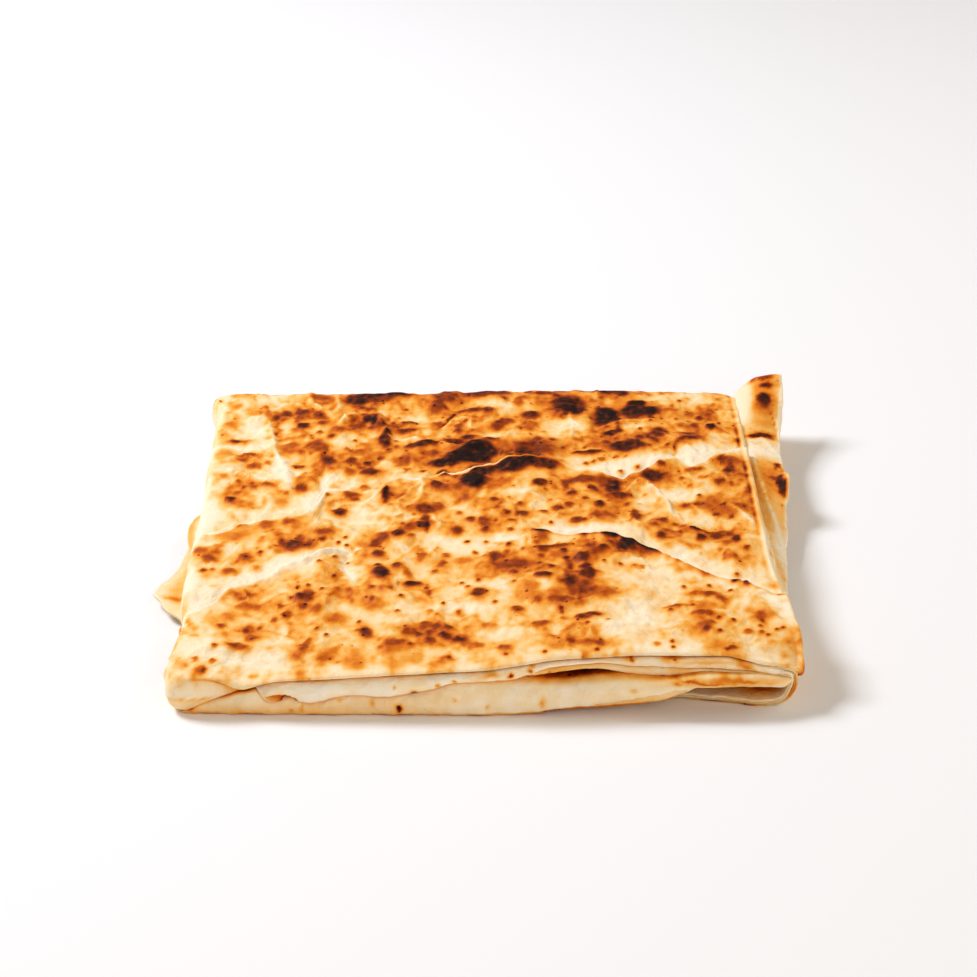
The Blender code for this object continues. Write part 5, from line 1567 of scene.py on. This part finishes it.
# %% A little language for shader maths
class Sum:
    """Wraps a socket, so that shader maths reads like plain sums: +, - and * between sockets and numbers."""

    def __init__(self, tree, socket):
        self.tree, self.socket = tree, socket

    def maths(self, operation, first, second):
        """A Math node on two sockets or numbers."""
        node = self.tree.nodes.new("ShaderNodeMath")
        node.operation = operation
        for socket, value in zip(node.inputs, (first, second)):
            if isinstance(value, Sum):
                self.tree.links.new(value.socket, socket)
            else:
                socket.default_value = value
        return Sum(self.tree, node.outputs[0])

    def __add__(self, other):
        return self.maths("ADD", self, other)

    def __sub__(self, other):
        return self.maths("SUBTRACT", self, other)

    def __rsub__(self, other):
        return self.maths("SUBTRACT", other, self)

    def __mul__(self, other):
        return self.maths("MULTIPLY", self, other)

    __radd__, __rmul__ = __add__, __mul__

    def ramp(self, start, end):
        """0 before start, 1 after end, smooth between."""
        return self.node("ShaderNodeMapRange", {"interpolation_type": "SMOOTHSTEP"},
                         {"Value": self, "From Min": start, "From Max": end})

    def node(self, kind, settings, sockets, output=0):
        """Any other node: its settings are made first, then its sockets are given values or links."""
        node = self.tree.nodes.new(kind)
        for key, value in settings.items():
            setattr(node, key, value)
        for key, value in sockets.items():
            if isinstance(value, Sum):
                self.tree.links.new(value.socket, node.inputs[key])
            else:
                node.inputs[key].default_value = value
        return Sum(self.tree, node.outputs[output])


def linear(red, green, blue):
    """A colour as seen on a screen, in parts of 255, as light: the standard curve of screens, undone."""
    parts = ((c / 255 + 0.055) / 1.055 if c > 10 else c / 255 / 12.92 for c in (red, green, blue))
    return tuple(part ** 2.4 if c > 10 else part for part, c in zip(parts, (red, green, blue))) + (1,)


print("middle grey of a screen as light:", round(linear(128, 128, 128)[0], 3))

# %% [markdown]
# ## Colour, roughness and relief
# Dough always goes from cream through gold and brown to soot as it bakes, so one colour ramp, looked up by
# heat, is enough. Noise too fine for the mesh frays the heat, and toasted dough gets pinholes. It is a little
# oily and shines; soot is dull. Light enters pale dough a little way, which subsurface scattering gives.

# %% The cooked dough
# The heat, and the colour that dough takes there, from raw to charred.
COLOURS = [
    (0.0, (252, 237, 214)), (0.1, (250, 225, 184)), (0.22, (247, 208, 149)), (0.34, (245, 188, 103)),
    (0.45, (241, 166, 66)), (0.56, (230, 137, 34)), (0.67, (204, 99, 14)), (0.77, (156, 62, 8)),
    (0.86, (94, 33, 7)), (0.94, (46, 18, 8)), (1.0, (24, 12, 9)),
]


def cooked_dough():
    """The dough: colour, roughness and fine relief, all from the heat, which in places holds painted shade
    and light.
    """
    material = bpy.data.materials.new("cooked_dough")
    material.use_nodes = True
    tree = material.node_tree
    shader = tree.nodes["Principled BSDF"]
    place = Sum(tree, tree.nodes.new("ShaderNodeTexCoord").outputs["Object"])
    heat = place.node("ShaderNodeAttribute", {"attribute_name": "toast_and_painted_light"}, {}, "Fac")

    def rough_noise(scale, detail=3.0):
        return place.node("ShaderNodeTexNoise", {}, {"Vector": place, "Scale": scale, "Detail": detail}) - 0.5

    fine, grain = rough_noise(420), rough_noise(1400, 2.0)
    toasted = heat.ramp(0.12, 0.5)
    frayed = heat + fine * (0.05 + 0.12 * toasted) + grain * 0.05
    pores = place.node("ShaderNodeTexVoronoi", {}, {"Vector": place, "Scale": 330.0}, "Distance")
    chosen = place.node("ShaderNodeTexVoronoi", {}, {"Vector": place, "Scale": 330.0}, "Color")
    few = chosen.node("ShaderNodeSeparateColor", {}, {"Color": chosen}, "Red").ramp(0.7, 0.85)
    pore = (1 - pores.ramp(0.1, 0.24)) * few * heat.ramp(0.2, 0.4)
    frayed = frayed + pore * 0.22
    colour = place.node("ShaderNodeValToRGB", {}, {"Fac": frayed})
    stops = colour.socket.node.color_ramp.elements
    for k, (at, shade) in enumerate(COLOURS):
        stop = stops.new(at) if 0 < k < len(COLOURS) - 1 else stops[-1 if k else 0]
        stop.position, stop.color = at, linear(*shade)
    tree.links.new(colour.socket, shader.inputs["Base Color"])
    roughness = 0.62 - 0.12 * toasted + 0.25 * heat.ramp(0.75, 1) + fine * 0.1
    tree.links.new(roughness.socket, shader.inputs["Roughness"])
    swirl = place.node("ShaderNodeTexNoise", {},
                       {"Vector": place, "Scale": 210.0, "Detail": 3.0, "Distortion": 1.6}) - 0.5
    relief = swirl * 1.6 + fine * 0.5 + grain * 0.15 - pore * 0.4
    bump = place.node("ShaderNodeBump", {}, {"Height": relief, "Strength": 0.4, "Distance": 0.001})
    tree.links.new(bump.socket, shader.inputs["Normal"])
    shader.inputs["Specular IOR Level"].default_value = 0.1
    shader.inputs["Subsurface Weight"].default_value = 0.3
    shader.inputs["Subsurface Radius"].default_value = (1.0, 0.8, 0.6)
    shader.inputs["Subsurface Scale"].default_value = 0.0015
    return material


dough = cooked_dough()
print("nodes in the dough:", len(dough.node_tree.nodes))

# %% [markdown]
# Last the pieces get their dough, and the imported part is hidden.

# %% Dough on every piece
pieces = [top_sheet, roll, second_fold, third_fold, ground_sheet, inner_sheet, strip, flap, *short_edges]
for piece in pieces:
    piece.data.materials.append(dough)
    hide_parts("gozleme")

# %% [markdown]
# ## The floor
# A pale, matt floor holds the packet's shadow, which tells how high its edges lie. Without it the packet
# would seem to float.

# %% Floor
bpy.ops.mesh.primitive_plane_add(size=8)
floor = bpy.context.object
floor.name = "floor"
paper = bpy.data.materials.new("white_paper")
paper.use_nodes = True
paper.node_tree.nodes["Principled BSDF"].inputs["Base Color"].default_value = (0.9, 0.9, 0.9, 1)
paper.node_tree.nodes["Principled BSDF"].inputs["Roughness"].default_value = 0.9
floor.data.materials.append(paper)
print("floor, m:", tuple(round(v, 1) for v in floor.dimensions))

# %% [markdown]
# ## Soft light
# A strong light from the back left rakes over the blisters and gives each one a bright and a dark side. A
# wide, warm one in front opens the shadows of the folds, and a weak one fills the strip. Large squares of
# light make soft shadows; a sun or a point would cut hard ones. The world adds a warm glow from all around.


# %% Lights and world
def soft_light(name, place, size, power, colour):
    """A square light that faces the packet."""
    light = bpy.data.lights.new(name, "AREA")
    light.size, light.energy, light.color = size, power, colour
    lamp = bpy.data.objects.new(name, light)
    lamp.location = place
    direction = -np.array(place) / np.linalg.norm(place)
    yaw, pitch = math.atan2(direction[1], direction[0]), math.asin(direction[2])
    lamp.rotation_euler = (pitch + math.pi / 2, 0, yaw - math.pi / 2)
    bpy.context.scene.collection.objects.link(lamp)
    return lamp


key_light = soft_light("key_light", (-0.95, 0.45, 1.05), 0.5, 20, (0.97, 1, 1.1))
fill_light = soft_light("fill_light", (0.6, -1.4, 0.8), 1.2, 9.4, (1, 0.91, 0.8))
side_light = soft_light("side_light", (1.3, 0.3, 0.8), 1.0, 5, (1, 0.95, 0.87))
world = bpy.data.worlds.new("studio")
world.use_nodes = True
world.node_tree.nodes["Background"].inputs["Color"].default_value = (1, 0.9, 0.78, 1)
world.node_tree.nodes["Background"].inputs["Strength"].default_value = 0.31
bpy.context.scene.world = world

print("light, W:", [round(lamp.data.energy, 1) for lamp in (key_light, fill_light, side_light)])

# %% [markdown]
# ## The camera
# A long lens from almost a metre keeps the packet's sides nearly parallel, as somebody sees it who sits in
# front of the table. It looks down at about 24 degrees, so that the top and the folds both show.

# %% Camera
LOOKS_DOWN = 23.85
camera_data = bpy.data.cameras.new("camera")
camera_data.lens, camera_data.sensor_width = 110.5, 36
camera = bpy.data.objects.new("camera", camera_data)
camera.location = (0.00027, -0.8803, 0.41405)
camera.rotation_euler = (math.radians(90 - LOOKS_DOWN), 0, 0)
bpy.context.scene.collection.objects.link(camera)
bpy.context.scene.camera = camera
bpy.context.scene.view_settings.view_transform = "Standard"
print("camera", camera_data.lens, "mm, at", [round(v, 3) for v in camera.location])
